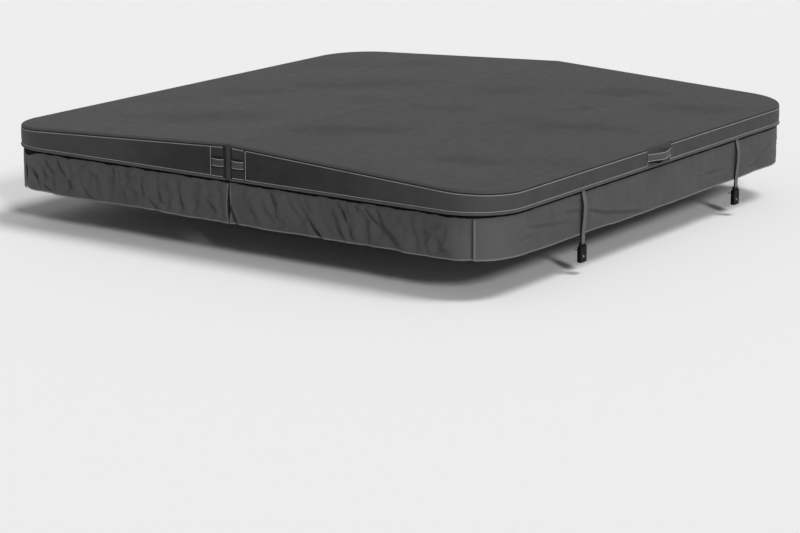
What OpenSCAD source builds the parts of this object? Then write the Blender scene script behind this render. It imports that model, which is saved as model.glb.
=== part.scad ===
// Two-panel tapered hard cover for a square spa.
// Origin: centre of the underside, on the plane that rests on the spa's rim.
// +X runs across the fold, +Y along it, +Z up. Millimetres.

/* [Panels] */
// Width across the fold, over the side bands
cover_w = 2134; // [1800:2:2400]
// Length along the fold, over the side bands
cover_l = 2134; // [1800:2:2400]
// Radius of the four corners in plan
corner_r = 190; // [150:5:300]
// Thickness at the outer edges
edge_t = 77; // [60:1:90]
// Thickness at the fold
hinge_t = 129; // [100:1:140]
// Gap between the two panels, filled by the heat-seal pad
hinge_gap = 27; // [24:1:40]
// Side and top vinyl thickness
skin_t = 1; // [0.8:0.1:1.2]
// Vapour barrier thickness, drawn thicker than the real film
film_t = 0.5; // [0.3:0.1:0.6]

/* [Steel channel] */
// Sheet thickness of the channel
channel_t = 1.2; // [1:0.1:1.6]
// Width of the channel's flanges
channel_flange = 30; // [20:1:40]
// How far each end of the channel stays inside the band
channel_end = 40; // [20:5:80]

/* [Skirt] */
// How far the skirt hangs below the underside
skirt_drop = 150; // [100:5:155]
// Skirt thickness, vinyl and hem together
skirt_t = 2; // [1.5:0.5:3]
// How far the skirt's outer face lies inside the band
skirt_inset = 5; // [4.6:0.2:8]
// Where the skirt is split at a corner, in degrees round from the hinge end
slit_angle = 32; // [20:1:45]
// Width of each split
slit_w = 3; // [2:0.5:4]
// Radius of the welt roll under the band
welt_r = 4.5; // [3:0.5:6]

/* [Handles] */
// Height of every handle strap
handle_h = 27; // [20:1:40]
// Thickness of every handle strap
handle_t = 2; // [1.5:0.5:3]
// Half the length of a side handle with its patch
side_handle_half = 82; // [70:1:120]
// How far a side handle bows out
side_handle_bow = 24; // [15:1:30]
// Height of a side handle's lower edge
side_handle_z = 27; // [20:1:40]
// Inner edge of a hinge-end patch, from the fold
hinge_patch_in = 17; // [16:1:20]
// Outer edge of a hinge-end patch, from the fold
hinge_patch_out = 74; // [65:1:90]
// How far a hinge-end handle bows out
hinge_handle_bow = 9; // [8:1:12]
// Height of a hinge-end handle's lower edge
hinge_handle_z = 47; // [40:1:55]

/* [Straps and clips] */
// Distance along the edge to the front strap
strap_front_y = -503; // [-700:1:-300]
// Distance along the edge to the back strap
strap_back_y = 591; // [300:1:700]
// Webbing width
web_w = 25.4; // [20:0.2:26]
// Webbing thickness
web_t = 1.6; // [1.2:0.1:2]
// Height of the bar that the webbing loops round
bar_z = -181; // [-190:1:-178]
// Clip width
clip_w = 39; // [38:1:42]
// Receiver thickness
receiver_t = 14; // [13:0.5:16]
// Distance between a receiver's two screws
screw_pitch = 20; // [18:1:22]
// Length of screw standing out behind a receiver
screw_out = 16; // [12:1:25]

/* [Zipper] */
// Distance of each zipper from the fold
zip_x = 56; // [45:1:80]
// Half the length of a zipper
zip_half = 900; // [700:10:900]

/* [Hidden] */

$fn = 96;

half_w = cover_w / 2;
half_l = cover_l / 2;
gap = hinge_gap / 2;
taper = (hinge_t - edge_t) / half_w;
welt_h = 2 * welt_r;
wall_in = skin_t + film_t;
far = 2 * half_w;

// clip, along the webbing's own plane
web_x = half_w - skirt_inset + web_t / 2 + 0.4;
pivot_z = -0.4 - web_t / 2;
bar_r = 1.8;
loop_r = bar_r + 0.2 + web_t;
cheek_w = (clip_w - 5 - web_w - 0.8) / 2;
male_t = 7;
male_w = clip_w - 5;
shoulder_h = 6;
receiver_top = bar_z - 9.5;
receiver_z = -246;
receiver_back = web_x - receiver_t / 2;
pocket_t = 6;
pocket_z = -215;
lock_r = 4;
lock_z = -226;
screw_r = 2;
screw_neck_r = 1.75;
screw_z = -205;
tongue_t = 4;
prong_w = 4.5;

// zipper and pull
tape_w = 30;
tape_t = 0.8;
teeth_w = 5;
teeth_h = 2;
slider_w = 12;
slider_l = 22;
slider_t = 4.6;
slider_top = -tape_t - 0.3;
pull_pin_z = slider_top - slider_t - 2.4;
pull_pin_r = 1;
slider_y = -zip_half + 20;

// Height of the top surface at a distance from the fold
function top(x) = hinge_t - taper * x;

// Radius of an arc of a given half chord and rise
function arc_r(half, rise) = (half * half + rise * rise) / (2 * rise);

// Draws its children on the right half (side 1) or mirrored on the left half (side -1)
module half(side) {
  if (side > 0) children();
  else mirror([1, 0, 0]) children();
}

// Draws its children at the back end (end 1) or mirrored at the front end (end -1)
module end_of(end) {
  if (end > 0) children();
  else mirror([0, 1, 0]) children();
}

// Plan of the right half, inset from the band's outer face, cut off at hinge_x
module plan(inset, hinge_x, hinge_end_inset = 0) {
  r = corner_r - inset;
  w = half_w - inset;
  l = half_l - inset - hinge_end_inset;
  translate([hinge_x, -l]) square([w - r - hinge_x, 2 * l]);
  translate([w - r, -l + r]) square([r, 2 * (l - r)]);
  for (s = [-1, 1]) translate([w - r, s * (l - r)]) circle(r);
}

// Everything between two heights under the sloping top: z_lo up to drop below the top surface
module under_top(z_lo, drop) {
  rotate([90, 0, 0]) linear_extrude(4 * half_l, center = true)
    polygon([[-1, z_lo], [far, z_lo], [far, top(far) - drop], [-1, top(-1) - drop]]);
}

// Solid slab of the right half
module slab(inset, hinge_x, z_lo, drop) {
  intersection() {
    linear_extrude(2 * hinge_t) plan(inset, hinge_x);
    under_top(z_lo, drop);
  }
}

// ---- inside the vinyl ----

module channel_shape() {
  x0 = gap + wall_in;
  len = 2 * (half_l - channel_end);
  rotate([90, 0, 0]) linear_extrude(len, center = true)
    difference() {
      polygon([[x0, wall_in], [x0 + channel_flange, wall_in],
               [x0 + channel_flange, top(x0 + channel_flange) - wall_in], [x0, top(x0) - wall_in]]);
      polygon([[x0 + channel_t, wall_in + channel_t], [far, wall_in + channel_t],
               [far, top(far) - wall_in - channel_t],
               [x0 + channel_t, top(x0 + channel_t) - wall_in - channel_t]]);
    }
}

module steel_channel(side) {
  color("silver") half(side) channel_shape();
}

module foam_core(side) {
  color("whitesmoke") half(side) difference() {
    slab(wall_in, gap + wall_in, wall_in, wall_in);
    channel_shape();
  }
}

module vapour_barrier(side) {
  color("lightblue") half(side) difference() {
    slab(skin_t, gap + skin_t, skin_t, skin_t);
    slab(wall_in, gap + wall_in, wall_in, wall_in);
  }
}

// ---- vinyl shell ----

module top_panel(side) {
  color("dimgray") half(side) intersection() {
    linear_extrude(2 * hinge_t) plan(0, gap);
    difference() {
      under_top(-1, 0);
      under_top(-2, skin_t);
    }
  }
}

module side_band(side) {
  color("#404040") half(side) intersection() {
    linear_extrude(2 * hinge_t) difference() {
      plan(0, gap);
      plan(skin_t, gap - 1);
    }
    under_top(welt_h, skin_t);
  }
}

module hinge_wall(side) {
  color("#3a3a3a") half(side) intersection() {
    translate([gap, -half_l + skin_t, 0]) cube([skin_t, 2 * (half_l - skin_t), 2 * hinge_t]);
    under_top(skin_t, skin_t);
  }
}

module bottom_panel(side) {
  color("#303030") half(side) difference() {
    linear_extrude(skin_t) plan(skin_t, gap);
    drain_places() cylinder(h = 10, r = eyelet_r, center = true);
  }
}

module hinge_leaf(side) {
  color("#4a4a4a") half(side) intersection() {
    translate([0.2, -half_l, 0]) cube([gap - 0.2, 2 * half_l, 2 * hinge_t]);
    difference() {
      under_top(-1, 0);
      under_top(-2, skin_t);
    }
  }
}

module heat_seal_pad() {
  pad_w = hinge_gap - 1.5;
  color("#454545") translate([-pad_w / 2, -half_l, 0]) cube([pad_w, 2 * half_l, top(gap) - 2.4]);
}

// Half-round roll that runs round the underside of the band
module welt(side) {
  w = half_w - skin_t;
  l = half_l - skin_t;
  r = corner_r - skin_t;
  color("#484848") half(side) {
    for (s = [-1, 1]) {
      translate([gap, s * l, welt_r]) rotate([0, 90, 0]) half_round(w - r - gap, s > 0 ? 0 : 180);
      translate([w - r, s * (l - r), welt_r])
        rotate([0, 0, s > 0 ? 0 : -90]) rotate_extrude(angle = 90) translate([r, 0]) half_disc();
    }
    translate([w, l - r, welt_r]) rotate([90, 0, 0]) linear_extrude(2 * (l - r)) half_disc();
  }
}

module half_disc() {
  intersection() {
    circle(welt_r, $fn = 48);
    translate([0, -welt_r]) square([welt_r, 2 * welt_r]);
  }
}

// Half round along +Z, its flat on the plane y = 0 before turning
module half_round(len, turn) {
  rotate([0, 0, turn]) linear_extrude(len) rotate([0, 0, 90]) half_disc();
}

// ---- skirt ----

// Everything on the corner's side of a split, for the back corner of the right half
module past_slit(toward) {
  translate([half_w - corner_r, half_l - corner_r, -far / 2])
    rotate([0, 0, 90 - slit_angle])
      translate([0, toward > 0 ? slit_w / 2 : slit_w / 2 - far, 0]) cube([far, far - slit_w, far]);
}

module skirt_ring() {
  translate([0, 0, -skirt_drop]) linear_extrude(skirt_drop) difference() {
    plan(skirt_inset, slit_w / 2);
    plan(skirt_inset + skirt_t, -1);
  }
}

// The stretch from the fold to the corner split, at the front (end -1) or the back (end 1)
module skirt_end(side, end) {
  color("#424242") half(side) end_of(end) difference() {
    intersection() {
      skirt_ring();
      union() {
        translate([0, 0, -far / 2]) cube([half_w - corner_r, far, far]);
        intersection() {
          translate([half_w - corner_r, half_l - corner_r, -far / 2]) cube([corner_r, corner_r, far]);
          past_slit(1);
        }
      }
    }
    // the free end beside the fold hangs just clear of the heat-seal pad
    translate([0, 0, -2.5]) cube([gap + 0.3, far, 10]);
  }
}

module skirt_front(side) { skirt_end(side, -1); }
module skirt_back(side) { skirt_end(side, 1); }

module skirt_side(side) {
  color("#4c4c4c") half(side) intersection() {
    skirt_ring();
    union() {
      translate([half_w - corner_r, -half_l + corner_r, -far / 2])
        cube([corner_r, 2 * (half_l - corner_r), far]);
      for (end = [-1, 1]) end_of(end) intersection() {
        translate([half_w - corner_r, half_l - corner_r, -far / 2]) cube([corner_r, corner_r, far]);
        past_slit(-1);
      }
    }
  }
}

// ---- handles ----

// Bowed strap on the XY plane, chord along Y, bowing to +X
module bow(half_chord, rise) {
  r = arc_r(half_chord, rise);
  intersection() {
    difference() {
      translate([rise - r, 0]) circle(r + handle_t / 2, $fn = 180);
      translate([rise - r, 0]) circle(r - handle_t / 2, $fn = 180);
    }
    translate([0, -2 * half_chord]) square([2 * rise + handle_t, 4 * half_chord]);
  }
}

module side_handle(side) {
  tab = 14;
  chord = side_handle_half - tab;
  patch_top = top(half_w) - skin_t;
  color("#505050") half(side) {
    translate([half_w, -side_handle_half, welt_h])
      cube([skin_t, 2 * side_handle_half, patch_top - welt_h]);
    translate([half_w + skin_t, 0, side_handle_z]) linear_extrude(handle_h) bow(chord, side_handle_bow);
    for (s = [0, 1]) mirror([0, s, 0]) translate([half_w + skin_t, chord - 3, side_handle_z])
      cube([handle_t, tab, handle_h]);
  }
}

module hinge_handle(side, end) {
  tab = 8;
  mid = (hinge_patch_in + hinge_patch_out) / 2;
  chord = (hinge_patch_out - hinge_patch_in) / 2 - tab;
  color("#505050") half(side) end_of(end) {
    intersection() {
      translate([hinge_patch_in, half_l, 0])
        cube([hinge_patch_out - hinge_patch_in, skin_t, 2 * hinge_t]);
      under_top(welt_h, skin_t);
    }
    translate([mid, half_l + skin_t, hinge_handle_z]) {
      linear_extrude(handle_h) rotate([0, 0, 90]) bow(chord, hinge_handle_bow);
      for (s = [0, 1]) mirror([s, 0, 0]) translate([chord - 2, 0, 0]) cube([tab, handle_t, handle_h]);
    }
  }
}

module hinge_handle_front(side) { hinge_handle(side, -1); }
module hinge_handle_back(side) { hinge_handle(side, 1); }

// ---- underside ----

eyelet_r = 7;
eyelet_bore_r = 5.5;
eyelet_flange_r = 12;

module drain_places() {
  for (s = [-1, 1]) translate([half_w - 160, s * (half_l - 160), 0]) children();
}

module drain_eyelets(side) {
  color("gray") half(side) drain_places() difference() {
    union() {
      translate([0, 0, -1]) cylinder(h = 1, r = eyelet_flange_r);
      cylinder(h = skin_t, r = eyelet_r);
    }
    translate([0, 0, -2]) cylinder(h = 6, r = eyelet_bore_r);
  }
}

module zipper(side) {
  color("black") half(side) translate([zip_x, -zip_half, 0]) {
    translate([-tape_w / 2, 0, -tape_t]) cube([tape_w, 2 * zip_half, tape_t]);
    translate([-teeth_w / 2, 0, -tape_t - teeth_h]) cube([teeth_w, 2 * zip_half, teeth_h]);
    // end stop
    translate([-slider_w / 2, 0, -tape_t - 3]) cube([slider_w, 6, 3]);
  }
}

module zip_slider(side) {
  ear = 1.6;
  color("dimgray") half(side) translate([zip_x, slider_y, 0]) difference() {
    union() {
      translate([-slider_w / 2, -slider_l / 2, slider_top - slider_t])
        cube([slider_w, slider_l, slider_t]);
      for (s = [0, 1]) mirror([s, 0, 0])
        translate([3, -2.5, pull_pin_z - 2]) cube([ear, 5, slider_top - slider_t - pull_pin_z + 2]);
      translate([-4, 0, pull_pin_z]) rotate([0, 90, 0]) cylinder(h = 8, r = pull_pin_r, $fn = 32);
    }
    translate([-teeth_w / 2 - 0.5, -slider_l, slider_top - 2.2]) cube([teeth_w + 1, 2 * slider_l, 5]);
  }
}

module zip_pull(side) {
  pull_l = 26;
  color("silver") half(side) translate([zip_x, slider_y, pull_pin_z]) difference() {
    union() {
      translate([-2.7, 0, 0]) rotate([0, 90, 0]) cylinder(h = 5.4, r = 2.1, $fn = 32);
      translate([-2.7, -0.9, -8]) cube([5.4, 1.8, 8]);
      translate([-4, -0.9, -pull_l]) cube([8, 1.8, pull_l - 6]);
    }
    translate([-5, 0, 0]) rotate([0, 90, 0]) cylinder(h = 10, r = pull_pin_r + 0.08, $fn = 32);
    translate([0, -3, -pull_l + 4.5]) rotate([-90, 0, 0]) cylinder(h = 6, r = 1.8, $fn = 32);
  }
}

// ---- straps and clips; each is drawn at y = 0 and moved to its strap ----

module at_strap(side, y) {
  half(side) translate([web_x, y, 0]) children();
}

module webbing(side, y) {
  color("#3c3c3c") at_strap(side, y) {
    translate([0, -web_w / 2, pivot_z]) rotate([-90, 0, 0]) cylinder(h = web_w, r = web_t / 2, $fn = 32);
    difference() {
      union() {
        translate([-web_t / 2, -web_w / 2, bar_z + bar_r])
          cube([web_t, web_w, pivot_z - bar_z - bar_r]);
        // the end, folded back round the bar and sewn to itself
        translate([web_t / 2, -web_w / 2, bar_z]) rotate([-90, 0, 0])
          cylinder(h = web_w, r = loop_r, $fn = 48);
        translate([web_t / 2, -web_w / 2, bar_z]) cube([web_t, web_w, 34]);
      }
      translate([web_t / 2, -web_w, bar_z]) rotate([-90, 0, 0])
        cylinder(h = 2 * web_w, r = bar_r + 0.2, $fn = 48);
    }
  }
}

module male_clip(side, y) {
  bar_x = web_t / 2;
  shoulder_z = receiver_top + 0.5;
  color("#151515") at_strap(side, y) {
    translate([bar_x, -male_w / 2 + 1, bar_z]) rotate([-90, 0, 0])
      cylinder(h = male_w - 2, r = bar_r, $fn = 48);
    for (s = [0, 1]) mirror([0, s, 0])
      translate([-male_t / 2, male_w / 2 - cheek_w, shoulder_z])
        cube([male_t, cheek_w, bar_z + 3.5 - shoulder_z]);
    translate([-male_t / 2, -male_w / 2, shoulder_z]) cube([male_t, male_w, shoulder_h - 3]);
    translate([-tongue_t / 2, -6, pocket_z + 3]) cube([tongue_t, 12, shoulder_z - pocket_z - 3]);
    for (s = [0, 1]) mirror([0, s, 0])
      translate([-tongue_t / 2, male_w / 2 - prong_w - 1.5, pocket_z + 6])
        cube([tongue_t, prong_w, shoulder_z - pocket_z - 6]);
  }
}

module receiver(side, y) {
  corner = 3;
  front = receiver_t / 2;
  color("#1c1c1c") at_strap(side, y) difference() {
    translate([-front, 0, 0]) rotate([90, 0, 90]) linear_extrude(receiver_t) {
      translate([-clip_w / 2 + corner, receiver_z])
        square([clip_w - 2 * corner, receiver_top - receiver_z]);
      translate([-clip_w / 2, receiver_z + corner])
        square([clip_w, receiver_top - receiver_z - corner]);
      for (s = [-1, 1]) translate([s * (clip_w / 2 - corner), receiver_z + corner]) circle(corner);
    }
    // pocket that the male clip plugs into
    translate([-pocket_t / 2, -male_w / 2, pocket_z]) cube([pocket_t, male_w, 60]);
    // lock barrel's bore
    translate([-1, 0, lock_z]) rotate([0, 90, 0]) cylinder(h = 20, r = lock_r + 0.05);
    screw_places() rotate([0, 90, 0]) {
      translate([0, 0, -20]) cylinder(h = 30, r = screw_r + 0.15);
      translate([0, 0, -1.9]) cylinder(h = 2, r1 = screw_r + 0.15, r2 = 2 * screw_r + 0.15);
    }
  }
}

// The screws' heads sit at the pocket's rear wall
module screw_places() {
  for (s = [-1, 1]) translate([-pocket_t / 2, s * screw_pitch / 2, screw_z]) children();
}

module lock(side, y) {
  front = receiver_t / 2 + 0.6;
  color("gray") at_strap(side, y) difference() {
    translate([-0.8, 0, lock_z]) rotate([0, 90, 0]) cylinder(h = front + 0.8, r = lock_r);
    translate([front - 3, -0.6, lock_z - 2.4]) cube([5, 1.2, 4.8]);
  }
}

// A plain neck passes through the receiver, and the full shank starts just behind its back face
module screws(side, y) {
  wall = receiver_t / 2 - pocket_t / 2;
  color("silver") at_strap(side, y) screw_places() rotate([0, 90, 0]) difference() {
    union() {
      translate([0, 0, -wall - screw_out]) cylinder(h = screw_out - 0.2, r = screw_r);
      translate([0, 0, -wall - 0.2]) cylinder(h = wall, r = screw_neck_r);
      translate([0, 0, -1.9]) cylinder(h = 1.8, r1 = screw_r, r2 = 2 * screw_r - 0.2);
    }
    for (turn = [0, 90]) rotate([0, 0, turn]) translate([-2, -0.4, -1]) cube([4, 0.8, 2]);
  }
}

heat_seal_pad();

for (side = [-1, 1]) {
  hand = side < 0 ? "_left" : "_right";
  foam_core(side);
  steel_channel(side);
  vapour_barrier(side);
  top_panel(side);
  side_band(side);
  bottom_panel(side);
  hinge_wall(side);
  hinge_leaf(side);
  welt(side);
  skirt_front(side);
  skirt_side(side);
  skirt_back(side);
  zipper(side);
  zip_slider(side);
  zip_pull(side);
  side_handle(side);
  hinge_handle_front(side);
  hinge_handle_back(side);
  drain_eyelets(side);
  for (strap = [["_front", strap_front_y], ["_back", strap_back_y]]) {
    place = str(strap[0], hand);
    webbing(side, strap[1]);
    male_clip(side, strap[1]);
    receiver(side, strap[1]);
    lock(side, strap[1]);
    screws(side, strap[1]);
  }
}
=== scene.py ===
"""Two-panel folding hard cover for a square spa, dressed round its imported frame.

Lengths are metres in the part's own frame. The origin is the centre of the underside,
+X runs across the fold, +Y along it towards the back, and +Z is up.
"""

import logging
import math
from dataclasses import dataclass, field, replace
from enum import Enum
from functools import partial
from typing import Callable, Sequence

import bpy
import numpy as np
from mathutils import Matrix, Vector

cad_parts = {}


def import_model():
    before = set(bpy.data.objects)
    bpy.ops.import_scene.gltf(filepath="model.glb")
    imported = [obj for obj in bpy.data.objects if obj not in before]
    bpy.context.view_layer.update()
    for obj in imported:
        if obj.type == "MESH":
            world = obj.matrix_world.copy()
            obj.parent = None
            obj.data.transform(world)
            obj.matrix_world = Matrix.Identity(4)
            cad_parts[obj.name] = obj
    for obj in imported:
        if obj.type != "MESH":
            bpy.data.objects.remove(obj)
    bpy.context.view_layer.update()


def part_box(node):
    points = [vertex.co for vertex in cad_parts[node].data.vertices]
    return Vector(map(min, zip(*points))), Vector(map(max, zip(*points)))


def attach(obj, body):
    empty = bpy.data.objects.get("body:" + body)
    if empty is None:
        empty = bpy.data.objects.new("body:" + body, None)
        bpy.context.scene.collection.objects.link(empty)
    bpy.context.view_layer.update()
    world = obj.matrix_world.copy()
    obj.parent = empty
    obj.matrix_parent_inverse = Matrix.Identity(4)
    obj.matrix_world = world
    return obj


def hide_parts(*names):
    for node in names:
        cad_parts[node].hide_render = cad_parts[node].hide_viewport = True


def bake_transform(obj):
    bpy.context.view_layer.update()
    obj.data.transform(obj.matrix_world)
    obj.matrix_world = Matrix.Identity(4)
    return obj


log = logging.getLogger("spa_cover")

MM = 0.001
ACROSS, ALONG, UP, DOWN = (1, 0, 0), (0, 1, 0), (0, 0, 1), (0, 0, -1)
Array = np.ndarray
Place = Callable[[Array, Array], Array]
Socket = bpy.types.NodeSocket
Adder = Callable[..., Socket]


class Side(Enum):
    """Which of the two panels a piece belongs to."""

    LEFT = -1
    RIGHT = 1

    @property
    def tag(self) -> str:
        """The side's name as it stands in node names."""
        return self.name.lower()

    @property
    def body(self) -> str:
        """The body that this side's panel rides on."""
        return f"{self.tag}_half"


class End(Enum):
    """Which end of the fold a piece is at."""

    FRONT = -1
    BACK = 1

    @property
    def tag(self) -> str:
        """The end's name as it stands in node names."""
        return self.name.lower()


# ---- small tools ----


def smooth(t: Array) -> Array:
    """Eases a share from nought to one, held at both ends."""
    t = np.clip(t, 0.0, 1.0)
    return t * t * (3 - 2 * t)


def stations(start: float, stop: float, step: float) -> Array:
    """Evenly spaced values from start to stop, at most one step apart."""
    return np.linspace(start, stop, max(2, math.ceil(abs(stop - start) / step) + 1))


def stack(x: Array, y: Array, z: Array) -> Array:
    """Three arrays of coordinates as one array of points."""
    return np.stack(np.broadcast_arrays(x, y, z), axis=-1).astype(float)


def every(way: Sequence[float], like: Array) -> Array:
    """One direction, repeated for every one of some points."""
    return np.tile(np.asarray(way, float), (len(like), 1))


def points_of(obj: bpy.types.Object) -> Array:
    """A mesh's vertices as an array of points.

    Args:
        obj: The mesh object.

    Returns:
        Its points, a row each.
    """
    flat = np.empty(len(obj.data.vertices) * 3, np.float32)
    obj.data.vertices.foreach_get("co", flat)
    return flat.reshape(-1, 3).astype(float)


def set_points(obj: bpy.types.Object, points: Array) -> None:
    """Moves a mesh's vertices to new points."""
    obj.data.vertices.foreach_set("co", points.astype(np.float32).ravel())
    obj.data.update()


def deselect() -> None:
    """Leaves nothing selected, so that an operator touches only what is made next."""
    if bpy.context.object and bpy.context.object.mode != "OBJECT":
        bpy.ops.object.mode_set(mode="OBJECT")
    bpy.ops.object.select_all(action="DESELECT")


def activate(obj: bpy.types.Object) -> None:
    """Makes one object the only one selected and the active one.

    Args:
        obj: The object.
    """
    deselect()
    obj.select_set(True)
    bpy.context.view_layer.objects.active = obj


def in_edit(obj: bpy.types.Object, *steps: Callable[[], object]) -> None:
    """Runs operators on everything in one mesh in edit mode.

    Args:
        obj: The mesh object.
        steps: Operators to call in turn, with all of the mesh selected.
    """
    activate(obj)
    bpy.ops.object.mode_set(mode="EDIT")
    bpy.ops.mesh.select_all(action="SELECT")
    for step in steps:
        step()
    bpy.ops.object.mode_set(mode="OBJECT")


def apply_modifier(obj: bpy.types.Object, kind: str, **settings: object) -> None:
    """Adds a modifier and applies it at once.

    Args:
        obj: The mesh object.
        kind: The modifier's type.
        settings: Its settings.
    """
    activate(obj)
    modifier = obj.modifiers.new(kind.title(), kind)
    for name, value in settings.items():
        setattr(modifier, name, value)
    bpy.ops.object.modifier_apply(modifier=modifier.name)


def tint(obj: bpy.types.Object, name: str, share: Array) -> None:
    """Stores a share at each vertex, for a finish to read."""
    layer = obj.data.attributes.new(name, "FLOAT", "POINT")
    layer.data.foreach_set("value", np.asarray(share, np.float32))


def bumps(t: Array, seed: int, longest: float, count: int = 5) -> Array:
    """A gentle uneven wave along one measure, between about -1 and 1.

    Args:
        t: Where to read the wave, in metres.
        seed: Which wave it is.
        longest: The longest wavelength, in metres.
        count: How many waves are added, each shorter than the one before.

    Returns:
        The wave's height at each place.
    """
    rng = np.random.default_rng(seed)
    total, weight = np.zeros_like(t, dtype=float), 0.0
    for i in range(count):
        share = 0.72**i
        length = longest * 0.62**i * rng.uniform(0.85, 1.15)
        total += share * np.sin(2 * np.pi * t / length + rng.uniform(0, 2 * np.pi))
        weight += share
    return total / weight * 1.6


def surface(
    name: str,
    across: Array,
    along: Array,
    place: Place,
    outward: Place,
    thickness: float = 0.0,
    shares: dict[str, Place] | None = None,
) -> bpy.types.Object:
    """Shapes a plain grid into a skin, and thickens it inwards.

    Args:
        name: The piece's name.
        across: The value of each of the grid's columns.
        along: The value of each of the grid's rows.
        place: Gives the points for columns and rows.
        outward: Gives a rough outward direction for columns and rows.
        thickness: The skin's thickness, or nought for a single layer.
        shares: Shares to store for its finish, each found from columns and rows.

    Returns:
        The new mesh object, with a map of its columns and rows in metres.
    """
    deselect()
    bpy.ops.mesh.primitive_grid_add(
        x_subdivisions=len(across) - 1, y_subdivisions=len(along) - 1, size=2
    )
    made = bpy.context.object
    made.name = made.data.name = name
    flat = points_of(made)
    u = across[np.rint((flat[:, 0] + 1) / 2 * (len(across) - 1)).astype(int)]
    v = along[np.rint((flat[:, 1] + 1) / 2 * (len(along) - 1)).astype(int)]
    set_points(made, place(u, v))
    corner = np.empty(len(made.data.loops), np.int32)
    made.data.loops.foreach_get("vertex_index", corner)
    made.data.uv_layers.active.data.foreach_set(
        "uv", np.stack([u[corner], v[corner]], axis=-1).astype(np.float32).ravel()
    )
    normals = np.empty(len(flat) * 3, np.float32)
    made.data.vertices.foreach_get("normal", normals)
    if (normals.reshape(-1, 3) * outward(u, v)).sum() < 0:
        made.data.flip_normals()
    for share, found in (shares or {}).items():
        tint(made, share, found(u, v))
    if thickness:
        apply_modifier(made, "SOLIDIFY", thickness=thickness, offset=-1.0)
    return made


def rounded_loop(width: float, height: float, radius: float, arc: int = 3) -> Array:
    """A rounded rectangle's outline, as a closed loop of points.

    Args:
        width: Its first size.
        height: Its second size.
        radius: The radius of its corners.
        arc: How many steps each corner takes.

    Returns:
        The points, centred on nought, with the first one again at the end.
    """
    radius = min(radius, width / 2 - 1e-6, height / 2 - 1e-6)
    quarter = np.linspace(0, np.pi / 2, arc + 1)
    loop = []
    for i, (sx, sy) in enumerate(((1, 1), (-1, 1), (-1, -1), (1, -1))):
        turn = quarter + i * np.pi / 2
        loop += list(
            zip(
                sx * (width / 2 - radius) + radius * np.cos(turn),
                sy * (height / 2 - radius) + radius * np.sin(turn),
            )
        )
    return np.array(loop + loop[:1])


def sweep(
    name: str, loops: Array, origin: Array, first: Array, second: Array
) -> bpy.types.Object:
    """A closed solid drawn by carrying a loop along a path, with both ends closed.

    Args:
        name: The piece's name.
        loops: One closed loop for all stations, or one for each, as pairs of offsets.
        origin: The path's points.
        first: The direction of each pair's first offset at each point.
        second: The direction of each pair's second offset at each point.

    Returns:
        The new mesh object.
    """
    n = len(origin)
    loops = np.broadcast_to(loops, (n, *loops.shape[-2:])).copy()
    keep = np.r_[0, np.arange(n), n - 1]
    loops, origin, first, second = loops[keep], origin[keep], first[keep], second[keep]
    for tip in (0, -1):
        loops[tip] = loops[tip][:-1].mean(axis=0)
    rings = (
        origin[:, None]
        + loops[..., :1] * first[:, None]
        + loops[..., 1:] * second[:, None]
    )
    made = surface(
        name,
        np.arange(loops.shape[1], dtype=float),
        np.arange(n + 2, dtype=float),
        lambda u, v: rings[v.astype(int), u.astype(int)],
        lambda u, v: np.zeros((len(u), 3)),
    )
    in_edit(
        made,
        lambda: bpy.ops.mesh.remove_doubles(threshold=1e-6),
        lambda: bpy.ops.mesh.normals_make_consistent(inside=False),
    )
    return made


def directions(points: Array) -> Array:
    """Unit directions along a line of points."""
    way = np.gradient(points, axis=0)
    return way / np.linalg.norm(way, axis=-1, keepdims=True)


def stitches(
    name: str, centre: Array, along: Array, out: Array, length: float, width: float
) -> bpy.types.Object:
    """A row of thread stitches, each a copy of one short rounded length of thread.

    Args:
        name: The piece's name.
        centre: Where each stitch lies.
        along: The seam's direction at each stitch.
        out: The cloth's outward direction at each stitch.
        length: A stitch's length.
        width: The thread's width as it shows.

    Returns:
        One mesh object that holds the whole row.
    """
    deselect()
    bpy.ops.mesh.primitive_cylinder_add(vertices=6, radius=0.5, depth=0.62)
    one = bpy.context.object
    bpy.ops.object.mode_set(mode="EDIT")
    bpy.ops.mesh.select_mode(type="FACE")
    bpy.ops.mesh.select_all(action="DESELECT")
    bpy.ops.object.mode_set(mode="OBJECT")
    for face in one.data.polygons:
        face.select = abs(face.normal.z) > 0.9
    bpy.ops.object.mode_set(mode="EDIT")
    bpy.ops.mesh.inset(thickness=0.24, use_individual=True)
    bpy.ops.object.mode_set(mode="OBJECT")
    shape = points_of(one)
    tip = np.hypot(shape[:, 0], shape[:, 1]) < 0.4
    shape[tip, 2] *= 1.55
    faces = [tuple(p.vertices) for p in one.data.polygons]
    bpy.data.objects.remove(one)
    side = np.cross(along, out)
    corners = (
        centre[:, None]
        + shape[None, :, 2:3] * length * along[:, None]
        + shape[None, :, 0:1] * width * side[:, None]
        + shape[None, :, 1:2] * 0.6 * width * out[:, None]
    ).reshape(-1, 3)
    k = len(shape)
    mesh = bpy.data.meshes.new(name)
    mesh.from_pydata(
        corners.tolist(),
        [],
        [tuple(v + i * k for v in f) for i in range(len(centre)) for f in faces],
    )
    made = bpy.data.objects.new(name, mesh)
    bpy.context.scene.collection.objects.link(made)
    in_edit(made, lambda: bpy.ops.mesh.normals_make_consistent(inside=False))
    return made


def copied(node_name: str, name: str) -> bpy.types.Object:
    """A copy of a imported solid, merged into clean faces.

    Args:
        node_name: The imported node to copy.
        name: The new piece's name.

    Returns:
        The new mesh object.
    """
    source = bpy.data.objects[node_name]
    made = bpy.data.objects.new(name, source.data.copy())
    made.data.name = name
    made.data.materials.clear()
    bpy.context.scene.collection.objects.link(made)
    in_edit(
        made,
        lambda: bpy.ops.mesh.remove_doubles(threshold=2e-6),
        lambda: bpy.ops.mesh.dissolve_limited(angle_limit=math.radians(0.6)),
    )
    return made


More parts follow.
